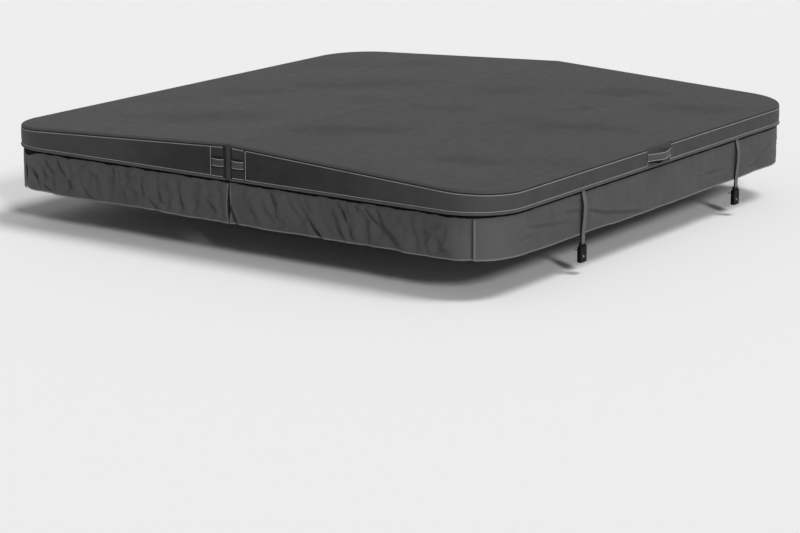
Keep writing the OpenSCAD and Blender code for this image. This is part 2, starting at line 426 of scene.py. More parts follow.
def refined(node_name: str, name: str, bevel: float) -> bpy.types.Object:
    """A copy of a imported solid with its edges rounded, as a mould leaves them.

    Args:
        node_name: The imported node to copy.
        name: The new piece's name.
        bevel: The width of the rounded edges.

    Returns:
        The new mesh object.
    """
    made = copied(node_name, name)
    apply_modifier(
        made,
        "BEVEL",
        width=bevel,
        segments=2,
        limit_method="ANGLE",
        angle_limit=math.radians(32),
        use_clamp_overlap=True,
    )
    return made


# ---- finishes ----


def linear(code: str) -> tuple[float, float, float, float]:
    """Turns an sRGB hex code into a linear colour.

    Args:
        code: The code, such as #7d8184.

    Returns:
        Linear red, green and blue, with an alpha of one.
    """
    parts = [int(code[i : i + 2], 16) / 255 for i in (1, 3, 5)]
    return (
        *(p / 12.92 if p <= 0.04045 else ((p + 0.055) / 1.055) ** 2.4 for p in parts),
        1.0,
    )


def node(
    tree: bpy.types.NodeTree,
    kind: str,
    inputs: dict[str | int, object] | Sequence[object] = (),
    output: str | int = 0,
    **settings: object,
) -> Socket:
    """Adds a node with its settings and links.

    Args:
        tree: The material's or world's node tree.
        kind: The node's type.
        inputs: A value, or an output to link, for each input by name or in order.
        output: Which of its outputs is wanted.
        settings: The node's own properties.

    Returns:
        That output.
    """
    made = tree.nodes.new(kind)
    for name, value in settings.items():
        setattr(made, name, value)
    pairs = inputs.items() if isinstance(inputs, dict) else enumerate(inputs)
    for name, value in pairs:
        if isinstance(value, Socket):
            tree.links.new(value, made.inputs[name])
        else:
            made.inputs[name].default_value = value
    return made.outputs[output]


@dataclass
class Layers:
    """What lies over a finish's base: colours, bumps, and a roughness that varies."""

    # each colour's share and its hex code, the lowest first
    colours: Sequence[tuple[Socket, str]] = ()
    # each bump's pattern and its real depth in metres, the lowest first
    bumps: Sequence[tuple[Socket, float]] = ()
    roughness: Socket | None = None


@dataclass(frozen=True)
class Finish:
    """A real material and surface. Each kind of finish has its own layers."""

    name: str
    colour: str
    roughness: float
    ior: float = 1.5
    gloss: float = 0.5
    metallic: float = 0.0
    slot: str = "charcoal_vinyl"

    def material(self) -> bpy.types.Material:
        """Makes the finish as a Blender material, once.

        Returns:
            The material, shared by all its pieces.
        """
        found = bpy.data.materials.get(self.name)
        if found:
            return found
        made = bpy.data.materials.new(self.name)
        made.use_nodes = True
        tree = made.node_tree
        shader = tree.nodes["Principled BSDF"]
        colour = linear(self.colour)
        for name, value in (
            ("IOR", self.ior),
            ("Metallic", self.metallic),
            ("Roughness", self.roughness),
            ("Specular IOR Level", self.gloss),
            ("Base Color", colour),
        ):
            shader.inputs[name].default_value = value
        add = partial(node, tree)
        layers = self.layers(add, add("ShaderNodeTexCoord", output="Object"))
        linked = {}
        if layers.roughness is not None:
            linked["Roughness"] = layers.roughness
        for share, code in layers.colours:
            mixed = {0: share, 6: colour, 7: linear(code)}
            colour = add("ShaderNodeMix", mixed, 2, data_type="RGBA")
            linked["Base Color"] = colour
        under = {}
        for height, depth in layers.bumps:
            bump = {"Height": height, "Distance": depth, "Strength": 1.0}
            under = {"Normal": add("ShaderNodeBump", {**bump, **under})}
        for name, value in {**linked, **under}.items():
            tree.links.new(value, shader.inputs[name])
        return made

    def layers(self, add: Adder, place: Socket) -> Layers:
        """What lies over the base, from patterns read at the piece's coordinates."""
        return Layers()


@dataclass(frozen=True)
class Vinyl(Finish):
    """Embossed marine vinyl: a pebbled leather grain that breaks up its soft sheen."""

    gloss: float = 0.12
    worn: str = "#5c5c5c"
    # a paler tone for real scuffs, a darker one for random mottle and painted shade, and
    # a near-black for painted shadow
    shaded: str = "#3e3e3e"
    painted_shadow: str = "#060606"
    # real grain is 1 to 1.5 mm across; it is drawn twice as coarse so that it shows
    grain: float = 2.6 * MM
    grain_depth: float = 0.42 * MM
    slack: float = 0.2 * MM

    def layers(self, add: Adder, place: Socket) -> Layers:
        """Pebble grain, scuffs, and painted shade in hollows, gaps and grain valleys.

        Args:
            add: Adds a node.
            place: Where patterns are read.

        Returns:
            The layers.
        """
        scuffs, broad, sheen, slack, ripple = (
            add("ShaderNodeTexNoise", {"Vector": place, "Scale": 1 / size, "Detail": d})
            for size, d in (
                (90 * MM, 4.0),
                (420 * MM, 2.0),
                (30 * MM, 4.0),
                (38 * MM, 2.0),
                (11 * MM, 3.0),
            )
        )
        cells = add(
            "ShaderNodeTexVoronoi",
            {"Vector": place, "Scale": 1 / self.grain},
            feature="DISTANCE_TO_EDGE",
        )
        dull, duller = self.roughness - 0.06, self.roughness + 0.07
        # the last of these is a painted shade in the valleys of the grain
        scuffs, broad, sheen, pebble, valley = (
            add("ShaderNodeMapRange", row)
            for row in (
                (scuffs, 0.3, 0.7, 0.0, 0.16),
                (broad, 0.3, 0.7, 0.0, 0.16),
                (sheen, 0.3, 0.7, dull, duller),
                (cells, 0.0, 0.16, 0.0, 1.0),
                (cells, 0.0, 0.1, 0.22, 0.0),
            )
        )
        # shares of painted shade and of near-black painted shadow kept on the mesh,
        # nought where it has none
        hollow, seam = (
            add("ShaderNodeAttribute", output="Fac", attribute_name=name)
            for name in ("hollow", "painted_shadow")
        )
        return Layers(
            (
                (broad, self.shaded),
                (hollow, self.shaded),
                (scuffs, self.worn),
                (seam, self.painted_shadow),
                (valley, self.shaded),
            ),
            ((slack, self.slack), (ripple, 0.22 * MM), (pebble, self.grain_depth)),
            add("ShaderNodeMath", (sheen, seam), operation="MAXIMUM"),
        )


@dataclass(frozen=True)
class Webbing(Finish):
    """Woven polypropylene: ribs of bright yarn across the strap, with dark gaps."""

    gloss: float = 0.15
    gap_colour: str = "#2a2b2c"
    # a near-black for the painted shadow along the strap's near edge
    painted_shadow: str = "#060606"
    # yarns are 1.2 mm wide; ribs are drawn at twice that so that they show
    rib: float = 2.4 * MM
    yarn: float = 3.2 * MM

    def layers(self, add: Adder, place: Socket) -> Layers:
        """A herringbone of ribs, with the yarn's own fuzz.

        Args:
            add: Adds a node.
            place: Where patterns are read.

        Returns:
            The layers.
        """
        # a wave texture of scale 0.314 repeats once in a metre
        waves = [
            add(
                "ShaderNodeTexWave",
                {
                    "Vector": place,
                    "Scale": 0.314 / size,
                    "Distortion": 0.6,
                    "Detail": 1.0,
                },
                "Fac",
                wave_type="BANDS",
                bands_direction=axis,
                wave_profile="SIN",
            )
            for axis, size in (("Z", self.rib), ("Y", self.yarn))
        ]
        weave = add("ShaderNodeMath", waves, operation="MULTIPLY")
        gaps = add("ShaderNodeMapRange", (weave, 0.02, 0.4, 0.55, 0.0))
        # the share of painted shadow kept on the mesh
        seam = add("ShaderNodeAttribute", output="Fac", attribute_name="painted_shadow")
        fuzz = {"Vector": place, "Scale": 1 / (0.7 * MM), "Detail": 2.0}
        fuzz = add("ShaderNodeTexNoise", fuzz)
        return Layers(
            ((gaps, self.gap_colour), (seam, self.painted_shadow)),
            ((fuzz, 0.1 * MM), (weave, 0.4 * MM)),
        )


@dataclass(frozen=True)
class Thread(Finish):
    """Bonded polyester thread: pale, faintly glossy, with a visible twist."""

    gloss: float = 0.3
    darker: str = "#7c7c7c"

    def layers(self, add: Adder, place: Socket) -> Layers:
        """The twist's shading and small differences from stitch to stitch.

        Args:
            add: Adds a node.
            place: Where patterns are read.

        Returns:
            The layers.
        """
        share, twist = (
            add("ShaderNodeTexNoise", {"Vector": place, "Scale": 1 / size, "Detail": d})
            for size, d in ((8 * MM, 2.0), (0.5 * MM, 1.0))
        )
        share = add("ShaderNodeMapRange", (share, 0.3, 0.7, 0.0, 0.5))
        return Layers([(share, self.darker)], [(twist, 0.2 * MM)])


@dataclass(frozen=True)
class Moulded(Finish):
    """Injection-moulded plastic: a spark-eroded texture and a few handling scuffs."""

    gloss: float = 0.1
    scuff: str = "#2b2c2e"
    texture: float = 0.9 * MM

    def layers(self, add: Adder, place: Socket) -> Layers:
        """Fine even texture, with scuffs that are paler and rougher.

        Args:
            add: Adds a node.
            place: Where patterns are read.

        Returns:
            The layers.
        """
        wear, texture = (
            add("ShaderNodeTexNoise", {"Vector": place, "Scale": 1 / size, "Detail": d})
            for size, d in ((6 * MM, 5.0), (self.texture, 2.0))
        )
        wear = add("ShaderNodeMapRange", (wear, 0.55, 0.75, 0.0, 0.7))
        rough = (wear, 0.0, 0.7, self.roughness, self.roughness + 0.2)
        rough = add("ShaderNodeMapRange", rough)
        return Layers([(wear, self.scuff)], [(texture, 0.07 * MM)], rough)


@dataclass(frozen=True)
class Metal(Finish):
    """Bare or plated metal: fine rolling or casting marks and slightly uneven gloss."""

    metallic: float = 1.0
    dull: str = "#7d7f82"
    marks: tuple[float, float, float] = (1.0, 1.0, 1.0)

    def layers(self, add: Adder, place: Socket) -> Layers:
        """Marks along one way, duller where the metal has weathered.

        Args:
            add: Adds a node.
            place: Where patterns are read.

        Returns:
            The layers.
        """
        drawn = add("ShaderNodeMapping", {"Vector": place, "Scale": self.marks})
        streak, cloud = (
            add("ShaderNodeTexNoise", {"Vector": where, "Scale": 1 / size, "Detail": d})
            for where, size, d in ((drawn, 3 * MM, 4.0), (place, 12 * MM, 3.0))
        )
        cloud = add("ShaderNodeMapRange", (cloud, 0.3, 0.7, 0.0, 0.8))
        rough = (streak, 0.3, 0.7, self.roughness - 0.08, self.roughness + 0.12)
        rough = add("ShaderNodeMapRange", rough)
        return Layers([(cloud, self.dull)], [(streak, 0.04 * MM)], rough)


@dataclass(frozen=True)
class BeadFoam(Finish):
    """Expanded polystyrene: pressed white beads with dark joints between them."""

    joint: str = "#c9c9c2"
    bead: float = 4.0 * MM

    def layers(self, add: Adder, place: Socket) -> Layers:
        """Beads 4 mm across, each a shallow dome.

        Args:
            add: Adds a node.
            place: Where patterns are read.

        Returns:
            The layers.
        """
        cells = {"Vector": place, "Scale": 1 / self.bead}
        cells = add("ShaderNodeTexVoronoi", cells, feature="DISTANCE_TO_EDGE")
        joint = add("ShaderNodeMapRange", (cells, 0.0, 0.12, 0.8, 0.0))
        return Layers([(joint, self.joint)], [(cells, 0.3 * MM)])


@dataclass(frozen=True)
class Studio(Finish):
    """Seamless paper for the floor: flat, pale and matt."""

    def layers(self, add: Adder, place: Socket) -> Layers:
        """Only the paper's tooth, a faint bump."""
        tooth = {"Vector": place, "Scale": 1 / (4 * MM), "Detail": 2.0}
        return Layers(bumps=[(add("ShaderNodeTexNoise", tooth), 0.02 * MM)])


CHARCOAL_VINYL = Vinyl(
    "embossed_marine_vinyl",
    "#4b4b4b",
    0.7,
    1.53,
    worn="#545454",
    shaded="#393939",
    gloss=0.06,
)
BAND_VINYL = Vinyl(
    "band_marine_vinyl", "#4c4c4c", 0.58, 1.53, worn="#565656", shaded="#262626"
)
SKIRT_VINYL = Vinyl(
    "skirt_marine_vinyl",
    "#5c5c5c",
    0.62,
    1.53,
    worn="#666666",
    shaded="#393939",
    slack=2.0 * MM,
)
HEM_VINYL = Vinyl(
    "folded_hem_vinyl", "#7d8184", 0.5, 1.53, worn="#8e9294", shaded="#64686b"
)
BINDING_VINYL = Vinyl(
    "slit_binding_vinyl", "#6a6c6e", 0.5, 1.53, worn="#7a7c7e", shaded="#585a5c"
)
SEAM_VINYL = Vinyl(
    "piped_seam_vinyl", "#4c4c4c", 0.5, 1.53, worn="#606060", shaded="#3c3c3c"
)
UNDERSIDE_VINYL = Vinyl(
    "smooth_backing_vinyl",
    "#3a3b3c",
    0.5,
    1.53,
    worn="#4a4b4c",
    shaded="#303132",
    gloss=0.4,
    slot="underside_vinyl",
    grain=1.8 * MM,
    grain_depth=0.08 * MM,
)
STRAP_WEBBING = Webbing("woven_polypropylene", "#6e6f70", 0.8, slot="strap_webbing")
ZIP_TAPE = Webbing(
    "woven_polyester_tape",
    "#1b1b1c",
    0.8,
    slot="zip_coil",
    gap_colour="#0c0c0c",
    rib=1.2 * MM,
    yarn=1.4 * MM,
)
SEAM_THREAD = Thread("bonded_polyester_thread", "#a2a2a2", 0.6)
STRAP_THREAD = replace(SEAM_THREAD, slot="strap_webbing")
CLIP_ACETAL = Moulded(
    "moulded_black_acetal", "#050506", 0.45, 1.48, slot="clip_plastic", scuff="#0e0f10"
)
COIL_NYLON = Moulded("nylon_zip_coil", "#141415", 0.35, 1.53, slot="zip_coil")
EYELET_PLASTIC = Moulded(
    "moulded_eyelet_plastic", "#1e1f20", 0.45, 1.49, slot="eyelet_plastic"
)
LOCK_ZINC = Metal("die_cast_zinc", "#97999c", 0.38, slot="lock_zinc")
SCREW_STEEL = Metal(
    "passivated_stainless_steel", "#b9bbbd", 0.28, slot="stainless_steel"
)
CHANNEL_STEEL = Metal(
    "rolled_galvanised_steel", "#a9adb0", 0.4, dull="#8b9094", marks=(1.0, 0.08, 1.0)
)
ZIP_ZINC = Metal(
    "black_enamelled_zinc", "#2c2c2e", 0.35, slot="zip_metal", dull="#1d1d1f"
)
FOAM = BeadFoam("expanded_polystyrene", "#f0f0ec", 0.85, slot="eps_foam")
BARRIER_FILM = Moulded(
    "polyethylene_film",
    "#c9d3d8",
    0.25,
    1.51,
    slot="barrier_film",
    scuff="#b4c0c6",
    texture=6 * MM,
)
FLOOR_PAPER = Studio("seamless_studio_paper", "#f4f4f4", 0.9)


def dress(
    obj: bpy.types.Object,
    finish: Finish,
    body: str,
    replaces: Sequence[str] = (),
    angle: float = 35.0,
) -> bpy.types.Object:
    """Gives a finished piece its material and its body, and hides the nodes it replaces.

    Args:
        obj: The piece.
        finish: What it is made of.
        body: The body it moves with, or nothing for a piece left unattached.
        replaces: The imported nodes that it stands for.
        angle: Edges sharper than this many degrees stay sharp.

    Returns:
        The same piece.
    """
    activate(obj)
    bpy.ops.object.shade_smooth_by_angle(angle=math.radians(angle))
    obj.data.materials.clear()
    obj.data.materials.append(finish.material())
    if body:
        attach(obj, body)
    if replaces:
        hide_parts(*replaces)
    log.info("%s: %d faces on %s", obj.name, len(obj.data.polygons), body or "a blend")
    return obj


def sewn(
    name: str,
    centre: Array,
    along: Array,
    out: Array,
    size: tuple[float, float],
    body: str,
    thread: Finish = SEAM_THREAD,
) -> None:
    """Sews a row of stitches, each of one length and width."""
    dress(stitches(name, centre, along, out, *size), thread, body)


# ---- the cover's outline ----


@dataclass(frozen=True)
class Plan:
    """The outline and heights that every piece follows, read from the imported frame."""

    half_w: float
    half_l: float
    gap: float
    hinge_t: float
    edge_t: float = 77 * MM
    corner_r: float = 190 * MM
    roll_r: float = 9 * MM
    seam_tuck: float = 1.5 * MM
    # the band and the skirt are painted lighter past this far out towards a corner, and
    # lightest this much further on
    light_from: float = 0.8
    light_over: float = 0.24

    @classmethod
    def from_frame(cls) -> "Plan":
        """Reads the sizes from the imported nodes' boxes.

        Returns:
            The plan.
        """
        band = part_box("side_band_right")[1]
        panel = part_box("top_panel_right")[0]
        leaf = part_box("hinge_leaf_right")[1]
        return cls(band.x, band.y, panel.x, leaf.z)

    @property
    def taper(self) -> float:
        """How fast the top falls away from the fold."""
        return (self.hinge_t - self.edge_t) / self.half_w

    @property
    def run(self) -> float:
        """The straight stretch from a panel's fold edge to its corner."""
        return self.half_w - self.corner_r - self.gap

    @property
    def arc(self) -> float:
        """The length round one corner."""
        return self.corner_r * math.pi / 2

    @property
    def flank(self) -> float:
        """The straight stretch of an outer side between its corners."""
        return 2 * (self.half_l - self.corner_r)

    @property
    def length(self) -> float:
        """A panel's outline from the front of the fold round to the back of it."""
        return 2 * (self.run + self.arc) + self.flank

    def top(self, x: Array) -> Array:
        """The height of the sloping top."""
        return self.hinge_t - self.taper * np.abs(x)

    def corner(self, s: Array) -> Array:
        """How far round its two corners the outline has turned, in quarter turns.

        Args:
            s: How far along the outline.

        Returns:
            The quarter turns, from nought to two.
        """
        first = np.clip((s - self.run) / self.arc, 0, 1)
        second = np.clip((s - self.run - self.arc - self.flank) / self.arc, 0, 1)
        return first + second

    def outline(self, side: Side, s: Array, inset: Array) -> tuple[Array, Array]:
        """Where the outline runs, and which way is out.

        Args:
            side: Which panel.
            s: How far along from the front of the fold. It may run past both ends.
            inset: How far inside the band's face.

        Returns:
            The points at height nought, and the outward directions.
        """
        s = np.asarray(s, float)
        turn = self.corner(s) * np.pi / 2
        out = stack(side.value * np.sin(turn), -np.cos(turn), 0.0)
        side_run = np.clip(s - self.run - self.arc, 0, self.flank)
        past = np.maximum(s - (self.length - self.run), 0)
        centre_x = self.gap + np.minimum(s, self.run) - past
        centre = stack(
            side.value * centre_x, -self.half_l + self.corner_r + side_run, 0.0
        )
        reach = np.broadcast_to(self.corner_r - np.asarray(inset), s.shape)
        return centre + reach[:, None] * out, out

    def ring(self, x: Array, y: Array) -> tuple[Array, Array, Array]:
        """Carries a plain rectangle onto the rounded plan, ring by ring.

        Args:
            x: Distance from the fold, from nought to a little past the outer edge.
            y: Distance along the fold, which may run a little past both ends.

        Returns:
            The new x and y, and how far inside the edge each point is. Points past
            the edge are tucked back in and have a negative distance.
        """
        ends = np.abs(y)
        inside = np.minimum(self.half_w - x, self.half_l - ends)
        p = x - (self.half_w - self.corner_r)
        q = ends - (self.half_l - self.corner_r)
        tuck = np.where(inside < 0, self.seam_tuck, inside)
        far_x = np.where(x > self.half_w, self.half_w - self.seam_tuck, x)
        far_y = np.where(ends > self.half_l, self.half_l - self.seam_tuck, ends)
        at_corner = (p > 0) & (q > 0)
        big, small = np.maximum(p, q), np.minimum(p, q)
        angle = np.pi / 4 * small / np.where(at_corner, big, 1.0)
        reach = self.corner_r - tuck
        near, away = reach * np.cos(angle), reach * np.sin(angle)
        corner_x = self.half_w - self.corner_r + np.where(p >= q, near, away)
        corner_y = self.half_l - self.corner_r + np.where(p >= q, away, near)
        return (
            np.where(at_corner, corner_x, far_x),
            np.sign(y) * np.where(at_corner, corner_y, far_y),
            inside,
        )

    def roll(self, inside: Array) -> Array:
        """How far the top vinyl has dropped as it rolls over the edge.

        Args:
            inside: How far inside the edge each place is.

        Returns:
            The drops.
        """
        left = np.clip(self.roll_r - inside, 0, self.roll_r)
        drop = self.roll_r - np.sqrt(np.maximum(self.roll_r**2 - left**2, 0))
        return drop + np.where(inside < 0, self.seam_tuck, 0.0)

    def corner_light(self, x: Array, y: Array) -> Array:
        """How near a corner each place is, which is where the band and the skirt are
        painted lightest.
        """
        near_x, near_y = ((np.abs(v) - self.light_from) / self.light_over for v in (x, y))
        return smooth(near_x) * smooth(near_y)

    @property
    def rings(self) -> Array:
        """Distances inside the edge at which the top needs a line of points."""
        rings = [-1.2, 0, 0.3, 1.2, 2.6, 4.5, 6.7, 9, 12, 16, 22, 30, 40]
        return np.array(rings) * MM

    def lines(self, near: float, far: float, step: float, both: bool) -> Array:
        """Grid lines over a span, crowded where the vinyl rolls over an edge.

        Args:
            near: Where the span starts.
            far: The span's outer edge.
            step: The spacing away from the edge.
            both: Whether the near end is an outer edge as well.

        Returns:
            The lines in rising order.
        """
        rings = self.rings
        end = (far - rings)[::-1]
        start = near + rings if both else np.array([near])
        return np.r_[start[:-1], stations(start[-1], end[0], step), end[1:]]


# ---- panels ----


@dataclass(frozen=True)
class Hollow:
    """A soft dip where the top vinyl lies slack against the foam."""

    x: float
    y: float
    length: float
    width: float
    angle: float
    depth: float = 1.0

    def share(self, x: Array, y: Array) -> Array:
        """How deep in the dip each place is, from nought to its depth.

        Args:
            x: Distance across the fold, with its sign.
            y: Distance along the fold.

        Returns:
            The shares.
        """
        turn = math.radians(self.angle)
        a = (x - self.x) * math.cos(turn) + (y - self.y) * math.sin(turn)
        b = (y - self.y) * math.cos(turn) - (x - self.x) * math.sin(turn)
        # its edge wanders by a few centimetres
        a = a + 0.022 * np.sin(31 * b + 9 * self.y) + 0.012 * np.sin(57 * y)
        b = b + 0.016 * np.sin(24 * a + 7 * self.x) + 0.010 * np.sin(49 * x)
        far = (a / (0.5 * self.length)) ** 2 + (b / (0.5 * self.width)) ** 2
        return self.depth * np.exp(-(far**1.7))


HOLLOWS = (
    Hollow(-0.43, -0.64, 0.56, 0.26, 24, 1.0),
    Hollow(-0.66, -0.09, 0.37, 0.20, 20, 0.8),
    Hollow(-0.38, 0.22, 0.55, 0.26, 26, 1.0),
    Hollow(-0.13, -0.10, 0.20, 0.18, 21, 0.7),
    Hollow(-0.85, 0.64, 0.30, 0.20, 19, 0.5),
    Hollow(-0.86, -0.36, 0.24, 0.20, 20, 0.5),
    Hollow(-0.55, 0.72, 0.40, 0.20, 30, 0.5),
    Hollow(0.12, -0.66, 0.34, 0.19, 43, 1.0),
    Hollow(0.27, -0.50, 0.20, 0.13, 45, 0.7),
    Hollow(0.75, -0.70, 0.27, 0.16, 45, 1.0),
    Hollow(0.97, -0.50, 0.19, 0.13, 45, 0.6),
    Hollow(0.65, -0.05, 0.24, 0.16, 45, 0.9),
    Hollow(0.80, 0.07, 0.22, 0.14, 45, 0.8),
    Hollow(0.58, 0.30, 0.12, 0.10, 46, 0.7),
    Hollow(0.52, 0.68, 0.30, 0.17, 46, 0.9),
    Hollow(0.87, 0.61, 0.34, 0.17, 46, 0.9),
    Hollow(0.18, 0.38, 0.26, 0.16, 46, 0.7),
    Hollow(0.22, -0.05, 0.22, 0.14, 46, 0.6),
    Hollow(0.50, -0.02, 0.18, 0.12, 46, 0.4),
)


@dataclass
class TopSkin:
    """The top vinyl of both panels and the strip between them over the fold."""

    plan: Plan
    swell: float = 3.4 * MM
    step: float = 15 * MM
    thickness: float = 0.9 * MM
    # the folded panels close to this much short of flat against each other
    fold_room: float = 0.0115
    # the vinyl lies slack only this far inside the edge, and dips no lower than this
    edge_zone: float = 0.14
    deepest: float = -0.3 * MM
    # share of painted shade in the deepest hollows
    hollow_tint: float = 0.58
    # half the fine crease's width, and half that of the painted shade along it
    crease: float = 1.6 * MM
    dirt: float = 2.2 * MM

    def dip(self, x: Array, y: Array) -> Array:
        """How far into the soft hollows each place lies, from nought to one."""
        return np.clip(sum(h.share(x, y) for h in HOLLOWS), 0, 1)

    def height(self, x: Array, y: Array, inside: Array) -> Array:
        """The top vinyl's outer height.

        Args:
            x: Distance across the fold, with its sign.
            y: Distance along the fold.
            inside: Distance inside the edge.

        Returns:
            The heights.
        """
        loose = 0.25 * np.sin(9.1 * x + 3.7 * y + 1.3) + 0.2 * np.sin(5.3 * y - 7.7 * x)
        slack = self.swell * (0.72 + 0.3 * loose - 0.72 * self.dip(x, y))
        slack = np.minimum(slack, self.fold_room * np.abs(x))
        slack = np.maximum(slack * smooth(inside / self.edge_zone), self.deepest)
        return self.plan.top(x) - self.plan.roll(inside) + slack

    def skin(self, side: Side) -> bpy.types.Object:
        """One panel's top vinyl, rolled over its edges into the seam.

        Args:
            side: Which panel.

        Returns:
            The new piece.
        """
        plan, k = self.plan, side.value

        def place(u: Array, v: Array) -> Array:
            """The panel's points."""
            x, y, inside = plan.ring(u, v)
            return stack(k * x, y, self.height(k * x, y, inside))

        made = surface(
            f"top_skin_{side.tag}",
            plan.lines(plan.gap, plan.half_w, self.step, False),
            plan.lines(-plan.half_l, plan.half_l, self.step, True),
            place,
            lambda u, v: every(UP, u),
            self.thickness,
        )
        points = points_of(made)
        dip = self.dip(points[:, 0], points[:, 1])
        # painted shade in the hollows, and painted shadow where the vinyl rolls down
        # into the seam
        tint(made, "hollow", self.hollow_tint * dip)
        below = plan.top(points[:, 0]) - points[:, 2]
        tint(made, "painted_shadow", smooth((below - plan.roll_r + MM) / (1.6 * MM)))
        node_name = f"top_panel_{side.tag}"
        dress(made, CHARCOAL_VINYL, side.body, [node_name])
        return made

    def strip(self) -> bpy.types.Object:
        """The vinyl that carries on over the fold, with a fine crease down its middle.

        Returns:
            The new piece.
        """
        plan = self.plan

        def place(u: Array, v: Array) -> Array:
            """The strip's points, with a fine crease down its middle."""
            _, y, inside = plan.ring(np.abs(u), v)
            crease = -0.5 * MM * np.exp(-((u / self.crease) ** 2))
            return stack(u, y, self.height(u, y, inside) + crease)

        half = np.array([0, 1, 2, 3, 4.5, 7, 10, 13.5]) / 13.5 * plan.gap
        made = surface(
            "hinge_strip",
            np.r_[-half[:0:-1], half],
            plan.lines(-plan.half_l, plan.half_l, self.step, True),
            place,
            lambda u, v: every(UP, u),
            self.thickness,
            # a faint line of painted shade down the crease
            {"painted_shadow": lambda u, v: 0.3 * np.exp(-((u / self.dirt) ** 2))},
        )
        dress(made, CHARCOAL_VINYL, "", angle=80)
        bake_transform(made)
        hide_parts("hinge_leaf_left", "hinge_leaf_right")
        return made

    def build(self) -> None:
        """Makes both skins and the strip."""
        for side in Side:
            self.skin(side)
        self.strip()


@dataclass
class SideBand:
    """The upright vinyl band round each panel, its stitching and its piping."""

    plan: Plan
    low: float = 9 * MM
    step: float = 5 * MM
    thickness: float = 0.8 * MM
    edge_zone: float = 9 * MM
    top_stitch: float = 4.2 * MM
    low_stitch: float = 2.4 * MM
    bulge: float = 0.9 * MM
    # how deep the stitches draw it in, and how deep its slack waves and puckers are
    groove: float = 0.55 * MM
    wave: float = 0.45 * MM
    pucker: float = 0.42 * MM
    pitch: float = 6.4 * MM
    # the stitches start clear of the hinge handles' patches
    first: float = 66 * MM
    stitch: tuple[float, float] = (5.4 * MM, 2.7 * MM)
    # how far a handle's patch keeps the stitches off, either side of the middle
    patch_half: float = 82 * MM
    # how far along each panel's end face from the fold the band is painted darker as
    # shade
    fresh_reach: dict[Side, float] = field(
        default_factory=lambda: {Side.LEFT: 0.44, Side.RIGHT: 0.6}
    )

    def high(self, x: Array) -> Array:
        """The height of the seam between the band and the top vinyl."""
        return self.plan.top(x) - self.plan.roll_r - 1.0 * MM

    def face(self, side: Side, s: Array, v: Array) -> tuple[Array, Array]:
        """The band's outer face.

        Args:
            side: Which panel.
            s: How far along the outline.
            v: How far up, where 0 to 1 and 2 to 3 are the edge zones.

        Returns:
            The points and the outward directions.
        """
        plan = self.plan
        base, _ = plan.outline(side, s, 0.0)
        high = self.high(base[:, 0])
        mid = high - self.low - 2 * self.edge_zone
        up = np.clip(v, 0, 1) * self.edge_zone
        up = up + np.clip(v - 1, 0, 1) * mid + np.clip(v - 2, 0, 1) * self.edge_zone
        down = high - self.low - up
        # it bulges between its seams, which pull it in, as each row of stitches does
        offset = self.bulge * smooth(up / 0.02) * smooth(down / 0.02)
        offset -= plan.seam_tuck * (
            np.exp(-((up / (0.9 * MM)) ** 2)) + np.exp(-((down / (1.3 * MM)) ** 2))
        )
        for gone, seam in ((up, self.low_stitch), (down, self.top_stitch)):
            offset -= self.groove * np.exp(-(((gone - seam) / (1.1 * MM)) ** 2))
        # it waves along its length, and puckers where it goes round a corner
        loose = smooth(up / 0.012) * smooth(down / 0.012)
        round_it = np.sin(np.pi * np.mod(plan.corner(s), 1.0)) ** 0.5
        offset += self.wave * loose * bumps(s + 0.35 * up, 11 + side.value, 0.31)
        offset += self.pucker * loose * round_it * bumps(s + 0.1 * up, 5, 0.015, 2)
        ends = np.minimum(s, plan.length - s)
        offset -= 1.6 * MM * (1 - smooth(ends / (3 * MM)))
        points, out = plan.outline(side, s, -offset)
        points[:, 2] = self.low + up
        return points, out

    def band(self, side: Side) -> bpy.types.Object:
        """One panel's band.

        Args:
            side: Which panel.

        Returns:
            The new piece.
        """
        zone = np.array([0, 0.5, 1.0, 1.5, 2.1, 2.7, 3.4, 4.2, 5.2, 7, 9]) / 9
        rows = np.r_[zone[:-1], 1 + np.linspace(0, 1, 9)[:-1], 3 - zone[::-1]]
        made = surface(
            f"band_skin_{side.tag}",
            stations(0, self.plan.length, self.step),
            rows,
            lambda s, v: self.face(side, s, v)[0],
            lambda s, v: self.face(side, s, v)[1],
            self.thickness,
        )
        points = points_of(made)
        down = self.high(points[:, 0]) - points[:, 2]
        # painted shadow just under the top seam and beside the fold, and painted shade
        # that is lightest at the corners and darkest on the end faces by the fold
        x, y = np.abs(points[:, 0]), np.abs(points[:, 1])
        under = 1 - smooth((down - 0.4 * MM) / (1.4 * MM))
        beside_fold = 1 - smooth((x - self.plan.gap) / (3 * MM))
        tint(made, "painted_shadow", np.maximum(under, 0.7 * beside_fold))
        fresh = np.exp(-((x / self.fresh_reach[side]) ** 4))
        fresh *= y > self.plan.half_l - 5 * MM
        tint(made, "hollow", 0.45 * (1 - self.plan.corner_light(x, y)) + 0.58 * fresh)
        node_name = f"side_band_{side.tag}"
        dress(made, BAND_VINYL, side.body, [node_name])
        return made

    def stitching(self, side: Side) -> None:
        """The two rows of stitches, left out where a handle's patch covers them.

        Args:
            side: Which panel.
        """
        plan = self.plan
        s = np.arange(self.first, plan.length - self.first, self.pitch)
        points, _ = plan.outline(side, s, 0.0)
        clear = np.abs(points[:, 1]) > self.patch_half
        clear |= points[:, 0] * side.value < plan.half_w - plan.corner_r
        s = s[clear]
        next_s = np.minimum(s + MM, plan.length)
        for name, v in (
            ("low", self.low_stitch / self.edge_zone),
            ("top", 3 - self.top_stitch / self.edge_zone),
        ):
            points, out = self.face(side, s, np.full_like(s, v))
            along = self.face(side, next_s, np.full_like(s, v))[0] - points
            along /= np.linalg.norm(along, axis=1, keepdims=True)
            sewn(
                f"band_{name}_stitches_{side.tag}",
                points + 0.3 * MM * out,
                along,
                out,
                self.stitch,
                side.body,
            )

